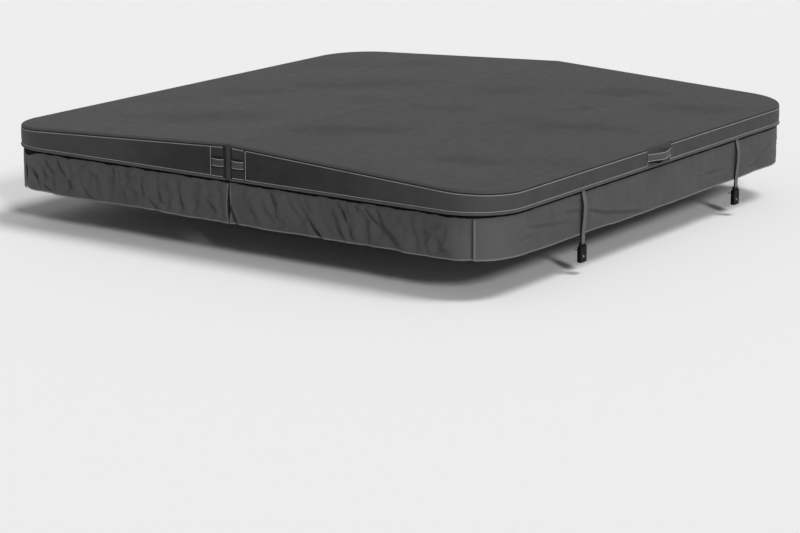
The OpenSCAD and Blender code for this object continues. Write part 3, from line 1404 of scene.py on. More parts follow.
    def piping(self, side: Side) -> bpy.types.Object:
        """The piped welt that closes the band's lower seam.

        Args:
            side: Which panel.

        Returns:
            The new piece.
        """
        plan = self.plan
        s = stations(0, plan.length, 8 * MM)
        pucker = 1 + 0.05 * bumps(s, 3 + side.value, 0.05, 4)
        turn = np.linspace(0, 2 * np.pi, 15)
        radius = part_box(f"welt_{side.tag}")[1].z / 2
        ring = np.stack([np.cos(turn), np.sin(turn)], axis=-1) * radius
        ring[:, 0] = np.maximum(ring[:, 0], -0.35 * radius)
        origin, out = plan.outline(side, s, 1 * MM)
        origin[:, 2] = radius
        made = sweep(
            f"piped_welt_{side.tag}",
            ring[None] * pucker[:, None, None],
            origin,
            out,
            every(UP, s),
        )
        node_name = f"welt_{side.tag}"
        dress(made, SEAM_VINYL, side.body, [node_name], 80)
        return made

    def build(self) -> None:
        """Makes both bands with their stitching and piping."""
        for side in Side:
            self.band(side)
            self.stitching(side)
            self.piping(side)


@dataclass
class Underside:
    """The backing vinyl that faces the water, the fold's inner walls and the drains."""

    plan: Plan
    thickness: float = 0.8 * MM
    wall_t: float = 0.6 * MM
    step: float = 25 * MM
    ripple: float = 0.35 * MM

    def panel(self, side: Side) -> bpy.types.Object:
        """One panel's lower vinyl, barely rippled because it rests on the rim.

        Args:
            side: Which panel.

        Returns:
            The new piece.
        """
        plan, k = self.plan, side.value

        def place(u: Array, v: Array) -> Array:
            """The panel's points, lifted just inside the band's seam."""
            x, y, inside = plan.ring(u, v)
            shrink = 1 - 1.5 * MM / plan.half_w
            lift = self.ripple * (1 + bumps(x + 0.7 * y, 21, 0.6) * bumps(y, 22, 0.4))
            lift = lift * smooth(inside / 0.08) + 0.8 * MM * (inside < 0)
            return stack(k * np.maximum(x * shrink, plan.gap), y * shrink, lift)

        made = surface(
            f"underside_skin_{side.tag}",
            plan.lines(plan.gap, plan.half_w, self.step, False),
            plan.lines(-plan.half_l, plan.half_l, self.step, True),
            place,
            lambda u, v: every(DOWN, u),
            self.thickness,
        )
        node_name = f"bottom_panel_{side.tag}"
        dress(made, UNDERSIDE_VINYL, side.body, [node_name])
        return made

    def wall(self, side: Side) -> bpy.types.Object:
        """The vinyl on the panel's thick edge, which shows when the cover is folded.

        Args:
            side: Which panel.

        Returns:
            The new piece.
        """
        plan, k = self.plan, side.value
        node_name = f"hinge_wall_{side.tag}"
        low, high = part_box(node_name)

        def place(u: Array, v: Array) -> Array:
            """The wall's points, pulled in a little between its seams."""
            edge = np.minimum(u - low.y, high.y - u)
            pull = 0.5 * MM * bumps(u + 0.4 * v, 31 + k, 0.22) * np.sin(np.pi * v)
            return stack(
                k * (plan.gap + 0.35 * MM - pull * smooth(edge / 0.05) * 0.6),
                u,
                low.z + v * (high.z - low.z),
            )

        made = surface(
            f"fold_wall_{side.tag}",
            stations(low.y, high.y, 20 * MM),
            np.linspace(0, 1, 13),
            place,
            lambda u, v: every((-k, 0, 0), u),
            self.wall_t,
        )
        dress(made, UNDERSIDE_VINYL, side.body, [node_name])
        return made

    def drains(self, side: Side) -> None:
        """The moulded drain eyelets near the outer corners.

        Args:
            side: Which panel.
        """
        node_name = f"drain_eyelets_{side.tag}"
        made = refined(node_name, f"moulded_drains_{side.tag}", 0.3 * MM)
        dress(made, EYELET_PLASTIC, side.body, [node_name])

    def build(self) -> None:
        """Makes both lower skins, both walls and the drains."""
        for side in Side:
            self.panel(side)
            self.wall(side)
            self.drains(side)


@dataclass
class HeatSealPad:
    """The soft pad that fills the gap under the fold and keeps the steam in."""

    plan: Plan
    corner: float = 3.5 * MM

    def build(self) -> bpy.types.Object:
        """A long padded bar with eased ends and slightly uneven sides.

        Returns:
            The new piece.
        """
        low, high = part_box("heat_seal_pad")
        width, height = high.x - low.x, high.z - low.z
        ease = np.array([3.2, 1.6, 0.5, 0.0]) * MM
        ends = np.array([0.0, 0.5, 1.6, 3.2]) * MM
        middle = stations(low.y + 8 * MM, high.y - 8 * MM, 24 * MM)
        y = np.r_[low.y + ends, middle, high.y - ends[::-1]]
        inset = np.r_[ease, np.zeros(len(middle)), ease[::-1]]
        loops = np.array(
            [rounded_loop(width - 2 * i, height - 2 * i, self.corner, 4) for i in inset]
        )
        free = smooth((self.plan.half_l - abs(y)) / 0.05)
        soft = 1 - 0.03 * (1 + bumps(y, 41, 0.3)) * free
        loops[..., 0] *= soft[:, None]
        origin = stack(0.0, y, (low.z + high.z) / 2)
        made = sweep("sealing_pad", loops, origin, every(ACROSS, y), every(UP, y))
        # only its two ends show; they carry painted shade, and painted shadow runs down
        # their edges
        points = points_of(made)
        end = smooth((np.abs(points[:, 1]) - self.plan.half_l) / 0.02 + 2)
        edge = smooth((np.abs(points[:, 0]) - width / 2) / (3.5 * MM) + 1.2)
        tint(made, "hollow", 0.75 * end)
        tint(made, "painted_shadow", 0.7 * end * edge)
        dress(made, CHARCOAL_VINYL, Side.LEFT.body, ["heat_seal_pad"], 50)
        return made


# ---- skirt ----


class Flap(Enum):
    """The three lengths that each panel's skirt is cut into."""

    FRONT = "front"
    SIDE = "side"
    BACK = "back"

    @property
    def order(self) -> int:
        """Its place along the outline, from nought."""
        return list(Flap).index(self)

    @property
    def at_side(self) -> bool:
        """Whether it hangs along the panel's outer side."""
        return self is Flap.SIDE


@dataclass(frozen=True)
class Crease:
    """A soft crease in hanging vinyl: a ridge with a valley just below it.

    Its ends, width and depth are in millimetres, along the outline from the fold and
    down from the seam.
    """

    s0: float
    d0: float
    s1: float
    d1: float
    width: float
    depth: float

    def offset(self, s: Array, d: Array) -> Array:
        """How far the crease moves each place outwards, in metres.

        Args:
            s: How far along the outline, in metres.
            d: How far down, in metres.

        Returns:
            The distances.
        """
        half = math.hypot(self.s1 - self.s0, self.d1 - self.d0) / 2
        cos, sin = (self.s1 - self.s0) / half / 2, (self.d1 - self.d0) / half / 2
        x = s / MM - (self.s0 + self.s1) / 2
        y = d / MM - (self.d0 + self.d1) / 2
        gone = (x * cos + y * sin) / (1.1 * half)
        below = (y * cos - x * sin) / self.width * math.copysign(1, cos)
        ridge = 0.8 * np.exp(-((below + 0.9) ** 2)) - np.exp(-((below - 0.35) ** 2))
        return 1.5 * self.depth * MM * ridge * np.exp(-(gone**4))


# each row is a crease's two ends, its width and its depth
END_CREASES = {
    Side.RIGHT: (
        (-8, 96, 18, 148, 5.0, 3.6),
        (95, 96, 160, 99, 12, 1.2),
        (150, 15, 190, 60, 14, 1.5),
        (240, 50, 290, 105, 9, 1.3),
        (318, 82, 378, 148, 9, 2.6),
        (345, 112, 372, 140, 5, 2.6),
        (435, 12, 478, 78, 7, 1.5),
        (462, 36, 480, 76, 4, 1.4),
        (438, 100, 478, 148, 8, 1.8),
        (562, 28, 602, 72, 7, 2.6),
        (600, 48, 690, 140, 16, 3.6),
        (640, 70, 680, 110, 8, 1.6),
        (735, 35, 760, 120, 12, 1.4),
        (790, 42, 865, 38, 9, 1.0),
        (820, 122, 880, 128, 8, 1.4),
    ),
    Side.LEFT: (
        (84, 78, 48, 122, 10, 1.8),
        (150, 100, 60, 98, 12, 1.2),
        (130, 20, 112, 45, 8, 1.2),
        (215, 45, 190, 125, 12, 1.6),
        (312, 76, 285, 118, 7, 1.9),
        (350, 120, 312, 142, 7, 2.0),
        (390, 68, 368, 98, 7, 1.8),
        (475, 100, 455, 135, 8, 1.5),
        (492, 30, 480, 62, 6, 1.3),
        (515, 18, 505, 48, 6, 1.6),
        (625, 50, 585, 60, 10, 1.6),
        (660, 112, 605, 146, 8, 1.8),
        (782, 26, 745, 70, 9, 2.2),
        (840, 30, 795, 78, 9, 2.2),
        (855, 122, 812, 146, 7, 2.2),
        (900, 70, 870, 130, 12, 2.0),
    ),
}
SIDE_CREASES = (
    (1150, 104, 1205, 92, 7, 1.4),
    (1210, 68, 1450, 94, 8, 1.6),
    (1410, 56, 1545, 68, 8, 1.8),
    (1585, 78, 1700, 106, 6, 2.4),
    (1690, 104, 1925, 138, 8, 2.6),
    (2390, 92, 2530, 98, 8, 1.6),
    (2555, 130, 2610, 112, 6, 1.6),
    (2735, 124, 2810, 116, 6, 1.6),
    (2800, 117, 2960, 34, 7, 2.4),
)


@dataclass
class Settled:
    """How far a flap of cloth moved outwards as it settled, on an even grid."""

    start: float
    stop: float
    moved: Array

    def at(self, s: Array, d: Array) -> Array:
        """The movement at any place on the flap.

        Args:
            s: How far along the outline.
            d: How far down, as a share of the drop.

        Returns:
            The distances.
        """
        across, down = self.moved.shape
        i = np.clip((s - self.start) / (self.stop - self.start), 0, 1) * (across - 1)
        j = np.clip(d, 0, 1) * (down - 1)
        i0 = np.minimum(i.astype(int), across - 2)
        j0 = np.minimum(j.astype(int), down - 2)
        a, b = smooth(i - i0), smooth(j - j0)
        m = self.moved
        near = m[i0, j0] * (1 - b) + m[i0, j0 + 1] * b
        far = m[i0 + 1, j0] * (1 - b) + m[i0 + 1, j0 + 1] * b
        return near * (1 - a) + far * a


@dataclass
class Skirt:
    """The vinyl skirt that hangs below each panel in three flaps."""

    plan: Plan
    drop: float = 150 * MM
    slit: float = 3 * MM
    slit_angle: float = 32.0
    thickness: float = 1.4 * MM
    step: float = 5 * MM
    frames: int = 24
    # pairs for an end flap and for a side flap: how many small creases it has, how
    # much fuller its cloth is than its seam, and how far that lets it buckle
    small: tuple[int, int] = (60, 26)
    fullness: tuple[float, float] = (0.03, 0.008)
    most: tuple[float, float] = (3.6 * MM, 0.7 * MM)
    # how much longer it was cut than its seam, and how much deeper its creases are
    cut: tuple[float, float] = (1.09, 1.04)
    deepened: tuple[float, float] = (3.3, 1.5)
    # how far inside the band's face the cloth lies, at distances down from its seam
    path_down: tuple[float, ...] = (0, 4, 8, 10.5, 12.5, 16, 150)
    path_inset: tuple[float, ...] = (18, 13.5, 9.6, 7.6, 6.6, 6.0, 5.9)
    ends: dict[Flap, tuple[float, float]] = field(init=False)
    settled: dict[tuple[Side, Flap], Settled] = field(default_factory=dict)

    def __post_init__(self) -> None:
        """Works out where each flap starts and stops along the outline."""
        plan, half = self.plan, self.slit / 2
        split = plan.run + plan.arc * self.slit_angle / 90
        first = half - plan.gap
        self.ends = {
            Flap.FRONT: (first, split - half),
            Flap.SIDE: (split + half, plan.length - split - half),
            Flap.BACK: (plan.length - split + half, plan.length - first),
        }

    def creases(self, side: Side, flap: Flap) -> list[Crease]:
        """The flap's creases: leaning at the ends, long and shallow at the sides.

        Args:
            side: Which panel.
            flap: Which flap.

        Returns:
            The creases, always in the same order.
        """
        start, stop = (v / MM for v in self.ends[flap])
        rng = np.random.default_rng(100 + 10 * flap.order + (side is Side.LEFT))
        whole = self.plan.length / MM
        if flap.at_side:
            made = [Crease(*row) for row in SIDE_CREASES]
            for _ in range(self.small[1]):
                s, d = rng.uniform(start, stop), rng.uniform(15, 140)
                far, foot = s + rng.uniform(30, 90), d + rng.uniform(0, 12)
                made.append(Crease(s, d, far, foot, 7, rng.uniform(0.2, 0.8)))
            return made
        rows = END_CREASES[side]
        if flap is Flap.BACK:
            rows = [
                (whole - a, b, whole - c, d, w, e)
                for a, b, c, d, w, e in END_CREASES[Side(-side.value)]
            ]
        made = [Crease(*row[:4], 1.4 * row[4], row[5]) for row in rows]
        way = side.value if flap is Flap.FRONT else -side.value
        for _ in range(self.small[0]):
            s, d = rng.uniform(start, stop), rng.uniform(10, 110)
            long = rng.uniform(18, 50)
            run = way * long * rng.uniform(0.2, 0.9)
            width, depth = rng.uniform(14, 26), rng.uniform(0.5, 1.6)
            made.append(Crease(s, d, s + run, d + long, width, depth))
        return made

    def to_corner(self, flap: Flap, s: Array) -> Array:
        """How far an end flap's places are from its corner split, and a side's far.

        Args:
            flap: Which flap.
            s: How far along the outline.

        Returns:
            The distances.
        """
        start, stop = self.ends[flap]
        far = {Flap.FRONT: stop - s, Flap.BACK: s - start}
        return far.get(flap, np.full_like(s, 1.0))

    def gap(self, side: Side, flap: Flap, s: Array) -> Array:
        """How far below the welt the cloth first shows, in its dark, uneven gap.

        Args:
            side: Which panel.
            flap: Which flap.
            s: How far along the outline.

        Returns:
            The depths.
        """
        seed = 65 + 7 * flap.order + side.value
        usual, uneven = (7.8, 0.8) if flap.at_side else (8.2, 2.6)
        gap = (usual + uneven * bumps(s, seed, 0.17)) * MM
        turn = self.plan.run + 0.085
        deep = 17 if side is Side.LEFT else 3
        for corner, pulled in ((turn, deep), (self.plan.length - turn, 3)):
            gap = gap + pulled * MM * np.exp(-(((s - corner) / 0.04) ** 2))
        return np.maximum(gap, 1.5 * MM)

    def shape(
        self, side: Side, flap: Flap, s: Array, d: Array
    ) -> tuple[Array, Array]:
        """The flap's outer face.

        Args:
            side: Which panel.
            flap: Which flap.
            s: How far along the outline.
            d: How far down the cloth, as a share of the drop.

        Returns:
            The points and the outward directions.
        """
        start, stop = self.ends[flap]
        depth = d * self.drop
        seed = 60 + 7 * flap.order + side.value
        inset = np.interp(depth / MM, self.path_down, self.path_inset) * MM
        loose = smooth((depth - 0.012) / 0.012)
        inset = inset - 1.3 * MM * d * bumps(s, seed, 0.42)
        folds = sum(c.offset(s, depth) for c in self.creases(side, flap))
        inset -= self.deepened[flap.at_side] * loose * folds
        if (side, flap) in self.settled:
            inset -= loose * self.settled[side, flap].at(s, d)
        free = np.minimum(s - start, stop - s)
        inset -= 1.4 * MM * d * np.exp(-((free / 0.05) ** 2))
        inset = np.maximum(inset, 0.5 * MM * loose)
        # an end flap tucks in behind the side flap where they meet at the corner
        far = self.to_corner(flap, s)
        under = 1 - smooth(far / 0.03)
        inset += 2.8 * MM * under * loose
        inset += loose * self.strap_room(side, s) * np.maximum(5.8 * MM - inset, 0)
        # the flaps lean apart at the fold, the left ones more
        near_fold = np.minimum(s + self.plan.gap, self.plan.length + self.plan.gap - s)
        swing = np.sin(np.pi * np.clip(d, 0, 1)) * MM
        lean = 3.5 * MM + 5 * swing if side is Side.LEFT else -0.5 * MM + 1.5 * swing
        lean = lean * np.exp(-((near_fold / 0.03) ** 2))
        if not flap.at_side:
            lean = lean + 12 * MM * under
            s = s + (lean if flap is Flap.FRONT else -lean)
        points, out = self.plan.outline(side, s, inset)
        # the hem wanders, sags along a side, and lifts at the corners of an end flap
        hem = 1.5 * MM * bumps(s, seed + 3, 0.65)
        if flap.at_side:
            hem -= 4.5 * MM * smooth(1 - np.abs(s - (start + stop) / 2) / 0.7)
        else:
            hem += 3 * MM * np.exp(-((far / 0.09) ** 2))
        gap = self.gap(side, flap, s)
        shown = 10 * MM
        fall = 0.6 * MM + (gap - 0.6 * MM) * smooth(depth / shown)
        fall += np.maximum(depth - shown, 0) * (self.drop - gap) / (self.drop - shown)
        points[:, 2] = hem * d - fall
        return points, out

    def strap_room(self, side: Side, s: Array) -> Array:
        """One behind the tie-down straps, where the skirt has to lie flat.

        Args:
            side: Which panel.
            s: How far along the outline.

        Returns:
            The shares.
        """
        points, _ = self.plan.outline(side, s, 0.0)
        room = np.zeros(len(s))
        for end in End:
            low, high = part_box(f"webbing_{end.tag}_{side.tag}")
            gone = np.abs(points[:, 1] - (low.y + high.y) / 2)
            room = np.maximum(room, 1 - smooth((gone - 0.018) / 0.03))
        return room

    def settle(self, side: Side, flap: Flap) -> None:
        """Lets the flap hang as cloth, and keeps how far each place moved outwards.

        The cloth is a little fuller than the seam and the hem that hold it, so it
        buckles between them as it drops.

        Args:
            side: Which panel.
            flap: Which flap.
        """
        start, stop = self.ends[flap]
        across, down = stations(start, stop, 11 * MM), np.linspace(0.08, 1, 15)
        seen: list[Array] = []

        def place(s: Array, d: Array) -> Array:
            """The flap's points, which also keeps where each one is."""
            points, out = self.shape(side, flap, s, d)
            seen.extend((s, d, out))
            return points

        made = surface(
            f"settling_{flap.value}_{side.tag}",
            across,
            down,
            place,
            lambda s, d: seen[2],
        )
        s, d, out = seen[:3]
        before = points_of(made)
        held = d < down[1] + 1e-6
        for name, part in (("seam", held), ("taut", held | (d > down[-2] - 1e-6))):
            group = made.vertex_groups.new(name=name)
            group.add(np.flatnonzero(part).tolist(), 1.0, "REPLACE")
        activate(made)
        cloth = made.modifiers.new("Cloth", "CLOTH")
        vinyl = cloth.settings
        vinyl.quality = 6
        vinyl.mass = 0.05
        vinyl.tension_stiffness = vinyl.compression_stiffness = 60
        vinyl.shear_stiffness = 30
        vinyl.bending_stiffness = 2.0
        vinyl.vertex_group_mass = "seam"
        vinyl.vertex_group_shrink = "taut"
        vinyl.shrink_min, vinyl.shrink_max = -self.fullness[flap.at_side], 0.0
        cloth.point_cache.frame_end = self.frames
        for frame in range(1, self.frames + 1):
            bpy.context.scene.frame_set(frame)
        bpy.ops.object.modifier_apply(modifier=cloth.name)
        bpy.context.scene.frame_set(1)
        moved = ((points_of(made) - before) * out).sum(axis=1)
        order = np.lexsort((d, s))
        most = self.most[flap.at_side]
        grid = most * np.tanh(moved[order].reshape(len(across), len(down)) / most)
        full = np.zeros((len(across), len(down) + 1))
        full[:, 1:] = grid
        self.settled[side, flap] = Settled(start, stop, full)
        bpy.data.objects.remove(made)
        least, furthest = moved.min() / MM, moved.max() / MM
        name = f"{flap.value}_{side.tag}"
        log.info("settled %s: %.1f to %.1f mm", name, least, furthest)

    def shadowed(self, side: Side, flap: Flap, s: Array, d: Array) -> Array:
        """How much painted shadow each place has: under the welt, at the corner splits,
        and at the near end of the left side flap.

        Args:
            side: Which panel.
            flap: Which flap.
            s: How far along the outline.
            d: How far down, as a share of the drop.

        Returns:
            The shares.
        """
        under = 1 - smooth((d * self.drop - 9 * MM) / (3 * MM))
        if not flap.at_side:
            tucked = 1 - smooth((self.to_corner(flap, s) - 0.01) / 0.006)
            return np.maximum(under, 0.6 * tucked)
        if side is Side.LEFT:
            shaded = 1 - smooth((s - self.ends[flap][0] - 0.008) / 0.02)
            return np.maximum(under, 0.85 * shaded)
        return under

    def shade_off_corners(self, s: Array, d: Array) -> Array:
        """How much painted shade each place has: none at the corners, which are painted
        lightest.
        """
        points, _ = self.plan.outline(Side.RIGHT, s, 0.0)
        return 0.55 * (1 - self.plan.corner_light(points[:, 0], points[:, 1]))

    def cloth(self, side: Side, flap: Flap) -> bpy.types.Object:
        """One flap of skirt vinyl, hanging from the welt.

        Args:
            side: Which panel.
            flap: Which flap.

        Returns:
            The new piece.
        """
        start, stop = self.ends[flap]
        rows = [0, 2, 4, 6, 8, 9.5, 10.5, 11.5, 12.5, 14, 16, *stations(20, 150, 4.8)]
        made = surface(
            f"skirt_vinyl_{flap.value}_{side.tag}",
            stations(start, stop, self.step),
            np.array(rows) / 150,
            lambda s, d: self.shape(side, flap, s, d)[0],
            lambda s, d: self.shape(side, flap, s, d)[1],
            self.thickness,
            # painted shadow under the welt and at the splits, and painted shade that
            # lightens at the corners
            {"painted_shadow": partial(self.shadowed, side, flap), "hollow": self.shade_off_corners},
        )
        node_name = f"skirt_{flap.value}_{side.tag}"
        return dress(made, SKIRT_VINYL, side.body, [node_name], 60)

    def edging(
        self,
        name: str,
        path: Array,
        out: Array,
        width: float,
        body: str,
        finish: Finish,
    ) -> bpy.types.Object:
        """A folded binding along one edge of a flap.

        Args:
            name: The piece's name.
            path: The middle of the binding.
            out: The outward directions along it.
            width: How wide it shows.
            body: The body it rides on.
            finish: Its vinyl.

        Returns:
            The new piece.
        """
        way = directions(path)
        across = np.cross(out, way)
        made = sweep(
            name,
            rounded_loop(width, 2.6 * MM, 1.2 * MM),
            path - 0.6 * MM * out,
            across,
            np.cross(way, across),
        )
        return dress(made, finish, body, angle=60)

    def bindings(self, side: Side, flap: Flap) -> list[bpy.types.Object]:
        """The hem along the bottom and the bound edges beside the splits.

        Args:
            side: Which panel.
            flap: Which flap.

        Returns:
            The new pieces, the hem first.
        """
        start, stop = self.ends[flap]
        along = stations(start, stop, 8 * MM)
        path, out = self.shape(side, flap, along, np.full_like(along, 0.985))
        tag = f"{flap.value}_{side.tag}"
        name, wide = f"skirt_hem_{tag}", 3.6 * MM
        made = [self.edging(name, path, out, wide, side.body, HEM_VINYL)]
        down = np.linspace(0.085, 0.975, 34)
        for name, s, way in (("near", start, 1), ("far", stop, -1)):
            if flap.at_side:
                wide, finish = 8 * MM, BINDING_VINYL
            elif (flap, way) in ((Flap.FRONT, 1), (Flap.BACK, -1)):
                wide, finish = 3.6 * MM, BINDING_VINYL
            else:
                wide, finish = 3 * MM, SKIRT_VINYL
            where = np.full_like(down, s + way * (wide / 2 - 0.4 * MM))
            path, out = self.shape(side, flap, where, down)
            name = f"skirt_{name}_binding_{tag}"
            made.append(self.edging(name, path, out, wide, side.body, finish))
        return made

    def build(self) -> None:
        for side in Side:
            for flap in Flap:
                self.settle(side, flap)
                made = self.cloth(side, flap)
                edges = self.bindings(side, flap)


# ---- handles ----


@dataclass
class Handle:
    """A lift handle: a patch sewn to the band and a strap that bows out from it."""

    plan: Plan
    strap_t: float = 2 * MM
    height: float = 27 * MM
    # the power of the bow's curve
    fullness: float = 2.0
    pitch: float = 5.6 * MM
    # the share of painted shade over the whole strap
    fresh: float = 0.5
    # how far its ends stand off the band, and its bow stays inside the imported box
    lift: float = 2.0 * MM
    room: float = 2.4 * MM

    def bowed(self, half: float, tab: float, bow: float) -> tuple[Array, Array]:
        """The strap's line: how far along it runs and how far it stands out.

        Args:
            half: Half the strap's length.
            tab: The length of each sewn end.
            bow: How far out the middle stands.

        Returns:
            Places along the chord, and how far out each is.
        """
        t = stations(-half, half, min(2.5 * MM, half / 16))
        share = np.clip(np.abs(t) / (half - tab), 0, 1)
        return t, bow * (1 - share**self.fullness)

    def strap(self, name: str, path: Array, out: Array, body: str) -> None:
        """A folded vinyl strap with a stitched, turned edge along both sides.

        Args:
            name: The strap's name.
            path: The middle of the strap.
            out: Which way is out at each point.
            body: The body it rides on.
        """
        up = every(UP, path)
        loop = rounded_loop(self.strap_t, self.height, 0.95 * MM)
        made = sweep(name, loop, path, out, up)
        # an even painted shade over the whole strap
        tint(made, "hollow", np.full(len(points_of(made)), self.fresh))
        dress(made, SKIRT_VINYL, body, angle=60)
        gone = np.r_[0, np.cumsum(np.linalg.norm(np.diff(path, axis=0), axis=1))]
        at = np.arange(3 * MM, gone[-1] - 2 * MM, self.pitch)
        line, facing = (
            np.stack([np.interp(at, gone, of[:, i]) for i in range(3)], axis=-1)
            for of in (path, out)
        )
        way, seam = directions(line), self.height / 2 - 1.9 * MM
        face = line + (self.strap_t / 2) * facing
        rows = [face + z * up[: len(line)] for z in (-seam, seam)]
        sewn(
            f"{name}_stitches",
            np.concatenate(rows),
            np.tile(way, (2, 1)),
            np.tile(facing, (2, 1)),
            (5.0 * MM, 2.4 * MM),
            body,
        )


@dataclass
class SideHandle(Handle):
    """The long handle in the middle of each outer side."""

    tab: float = 4 * MM
    low: float = 26 * MM
    fullness: float = 1.35

    def build(self) -> None:
        """Makes the patch and the strap on both sides."""
        for side in Side:
            low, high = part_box(f"side_handle_{side.tag}")
            self.patch(side)
            reach = max(abs(low.x), abs(high.x)) - self.plan.half_w
            t, rise = self.bowed(high.y, self.tab, reach - self.room)
            x = self.plan.half_w + self.lift + rise
            path = stack(side.value * x, t, self.low + self.height / 2)
            way = directions(path)
            out = stack(side.value * np.abs(way[:, 1]), -side.value * way[:, 0], 0.0)
            self.strap(f"side_handle_strap_{side.tag}", path, out, side.body)

    def shadowed(self, y: Array, z: Array, far: float) -> Array:
        """How much painted shadow the patch has: the strap's shadow below it, and
        painted shade along its far seam.

        Args:
            y: Distance along the patch from its middle, in millimetres.
            z: Height, in millimetres.
            far: Where its far edge is, in millimetres.

        Returns:
            The share of painted shadow.
        """
        near_edge = np.interp(z, (8, 11, 14, 17, 20), (-8, -16, -28, -48, -78))
        far_edge = np.interp(z, (8, 12, 16, 20), (10, 22, 36, 50))
        dirt = smooth((y - near_edge) / 5) * smooth((far_edge - y) / 5) * (z < 30)
        return np.maximum(dirt, 0.9 * np.exp(-(((far - 3.5 - y) / 3.4) ** 2)))

    def patch(self, side: Side) -> None:
        """The vinyl patch behind the strap.

        Args:
            side: Which panel.
        """
        plan, k = self.plan, side.value
        node_name = f"side_handle_{side.tag}"
        low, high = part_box(node_name)

        def place(u: Array, v: Array) -> Array:
            """The patch's points, puffed a little between its seams."""
            edge = np.minimum(np.minimum(u - low.y, high.y - u), 0.02)
            puff = 1.2 * MM + 0.5 * MM * smooth(edge / 0.012) * np.sin(np.pi * v)
            return stack(k * (plan.half_w + puff), u, low.z + v * (high.z - low.z - MM))

        made = surface(
            f"side_handle_patch_{side.tag}",
            stations(low.y, high.y, 3 * MM),
            np.linspace(0, 1, 35),
            place,
            lambda u, v: every((k, 0, 0), u),
            1.1 * MM,
            {
                # painted shadow under the strap and in the far seam, and an even painted
                # shade as on the band
                "painted_shadow": lambda u, v: self.shadowed(
                    u / MM, (low.z + v * (high.z - low.z)) / MM, high.y / MM
                ),
                "hollow": lambda u, v: np.full_like(u, 0.45),
            },
        )
        dress(made, BAND_VINYL, side.body, [node_name])
        # the strap hides all but the lowest stitches of the patch's end seams
        z = np.arange(low.z + 3 * MM, low.z + 15 * MM, self.pitch)
        x = k * (plan.half_w + 1.6 * MM)
        ends = (low.y + 2 * MM, high.y - 1.5 * MM)
        centre = np.concatenate([stack(x, y, z) for y in ends])
        sewn(
            f"side_patch_stitches_{side.tag}",
            centre,
            every(UP, centre),
            every((k, 0, 0), centre),
            (5.0 * MM, 2.3 * MM),
            side.body,
        )


@dataclass
class FoldHandle(Handle):
    """The short handles on both panels at each end of the fold."""

    tab: float = 2 * MM
    low: float = 47 * MM
    fullness: float = 4.0
    fresh: float = 0.8
    lift: float = 2.2 * MM
    # how far the strap's sewn end stays clear of the patch's outer seam
    seam: float = 5 * MM

    def build(self) -> None:
        """Makes the patch and the strap at all four places."""
        for side in Side:
            for end in End:
                low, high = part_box(f"hinge_handle_{end.tag}_{side.tag}")
                self.patch(side, end)
                reach = max(abs(low.y), abs(high.y)) - self.plan.half_l
                half = (high.x - low.x - self.seam) / 2
                middle = (low.x + high.x - side.value * self.seam) / 2
                t, rise = self.bowed(half, self.tab, reach - self.room)
                y = self.plan.half_l + self.lift + rise
                path = stack(middle + t, end.value * y, self.low + self.height / 2)
                way = directions(path)
                out = stack(
                    -end.value * way[:, 1], end.value * np.abs(way[:, 0]), 0.0
                )
                name = f"fold_handle_strap_{end.tag}_{side.tag}"
                self.strap(name, path, out, side.body)

    def patch(self, side: Side, end: End) -> None:
        """The vinyl patch behind the strap, with its own seams.

        Args:
            side: Which panel.
            end: Which end of the fold.
        """
        plan, k = self.plan, end.value
        node_name = f"hinge_handle_{end.tag}_{side.tag}"
        low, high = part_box(node_name)

        def place(u: Array, v: Array) -> Array:
            """The patch's points, puffed a little between its seams."""
            edge = np.minimum(u - low.x, high.x - u)
            puff = 1.5 * MM + 0.7 * MM * smooth(edge / 0.006) * np.sin(np.pi * v)
            tall = self.plan.top(u) - plan.roll_r - low.z
            return stack(u, k * (plan.half_l + puff), low.z + v * tall)

        def shadowed(u: Array, v: Array) -> Array:
            """How much painted shadow it has: in its end seams, and above and below the
            strap.
            """
            edge = np.minimum(u - low.x, high.x - u)
            z = low.z + v * (plan.top(u) - plan.roll_r - low.z)
            above = (z - self.low - self.height - 2.5 * MM) / (4 * MM)
            below = (self.low - 3 * MM - z) / (3.5 * MM)
            return np.maximum.reduce(
                (
                    0.85 * np.exp(-((edge / (2.6 * MM)) ** 2)),
                    0.8 * np.exp(-(above**2)),
                    0.8 * np.exp(-(below**2)),
                )
            )

        made = surface(
            f"fold_handle_patch_{end.tag}_{side.tag}",
            stations(low.x, high.x, 2 * MM),
            np.linspace(0, 1, 49),
            place,
            lambda u, v: every((0, k, 0), u),
            1.1 * MM,
            # painted shadow at the seams and beside the strap, and an even painted shade
            # over the patch
            {"painted_shadow": shadowed, "hollow": lambda u, v: np.full_like(u, 0.9)},
        )
        dress(made, BAND_VINYL, side.body, [node_name])
        # one seam just outside the patch, and one along its foot and its head
        outer = high.x if side is Side.RIGHT else low.x
        z = np.arange(low.z + 4 * MM, plan.top(outer) - 14 * MM, self.pitch)
        x = np.arange(low.x + 4 * MM, high.x - 4 * MM, self.pitch)
        face = k * (plan.half_l + 1.9 * MM)
        centre = np.concatenate(
            (
                stack(outer + side.value * 1.6 * MM, k * (plan.half_l + 1.5 * MM), z),
                stack(x, face, low.z + 2.4 * MM),
                stack(x, face, plan.top(x) - 14.2 * MM),
            )
        )
        sewn(
            f"fold_patch_stitches_{end.tag}_{side.tag}",
            centre,
            np.concatenate((every(UP, z), every(ACROSS, x), every(ACROSS, x))),
            every((0, k, 0), centre),
            (5.0 * MM, 2.5 * MM),
            side.body,
        )


# ---- straps, clips and zippers ----


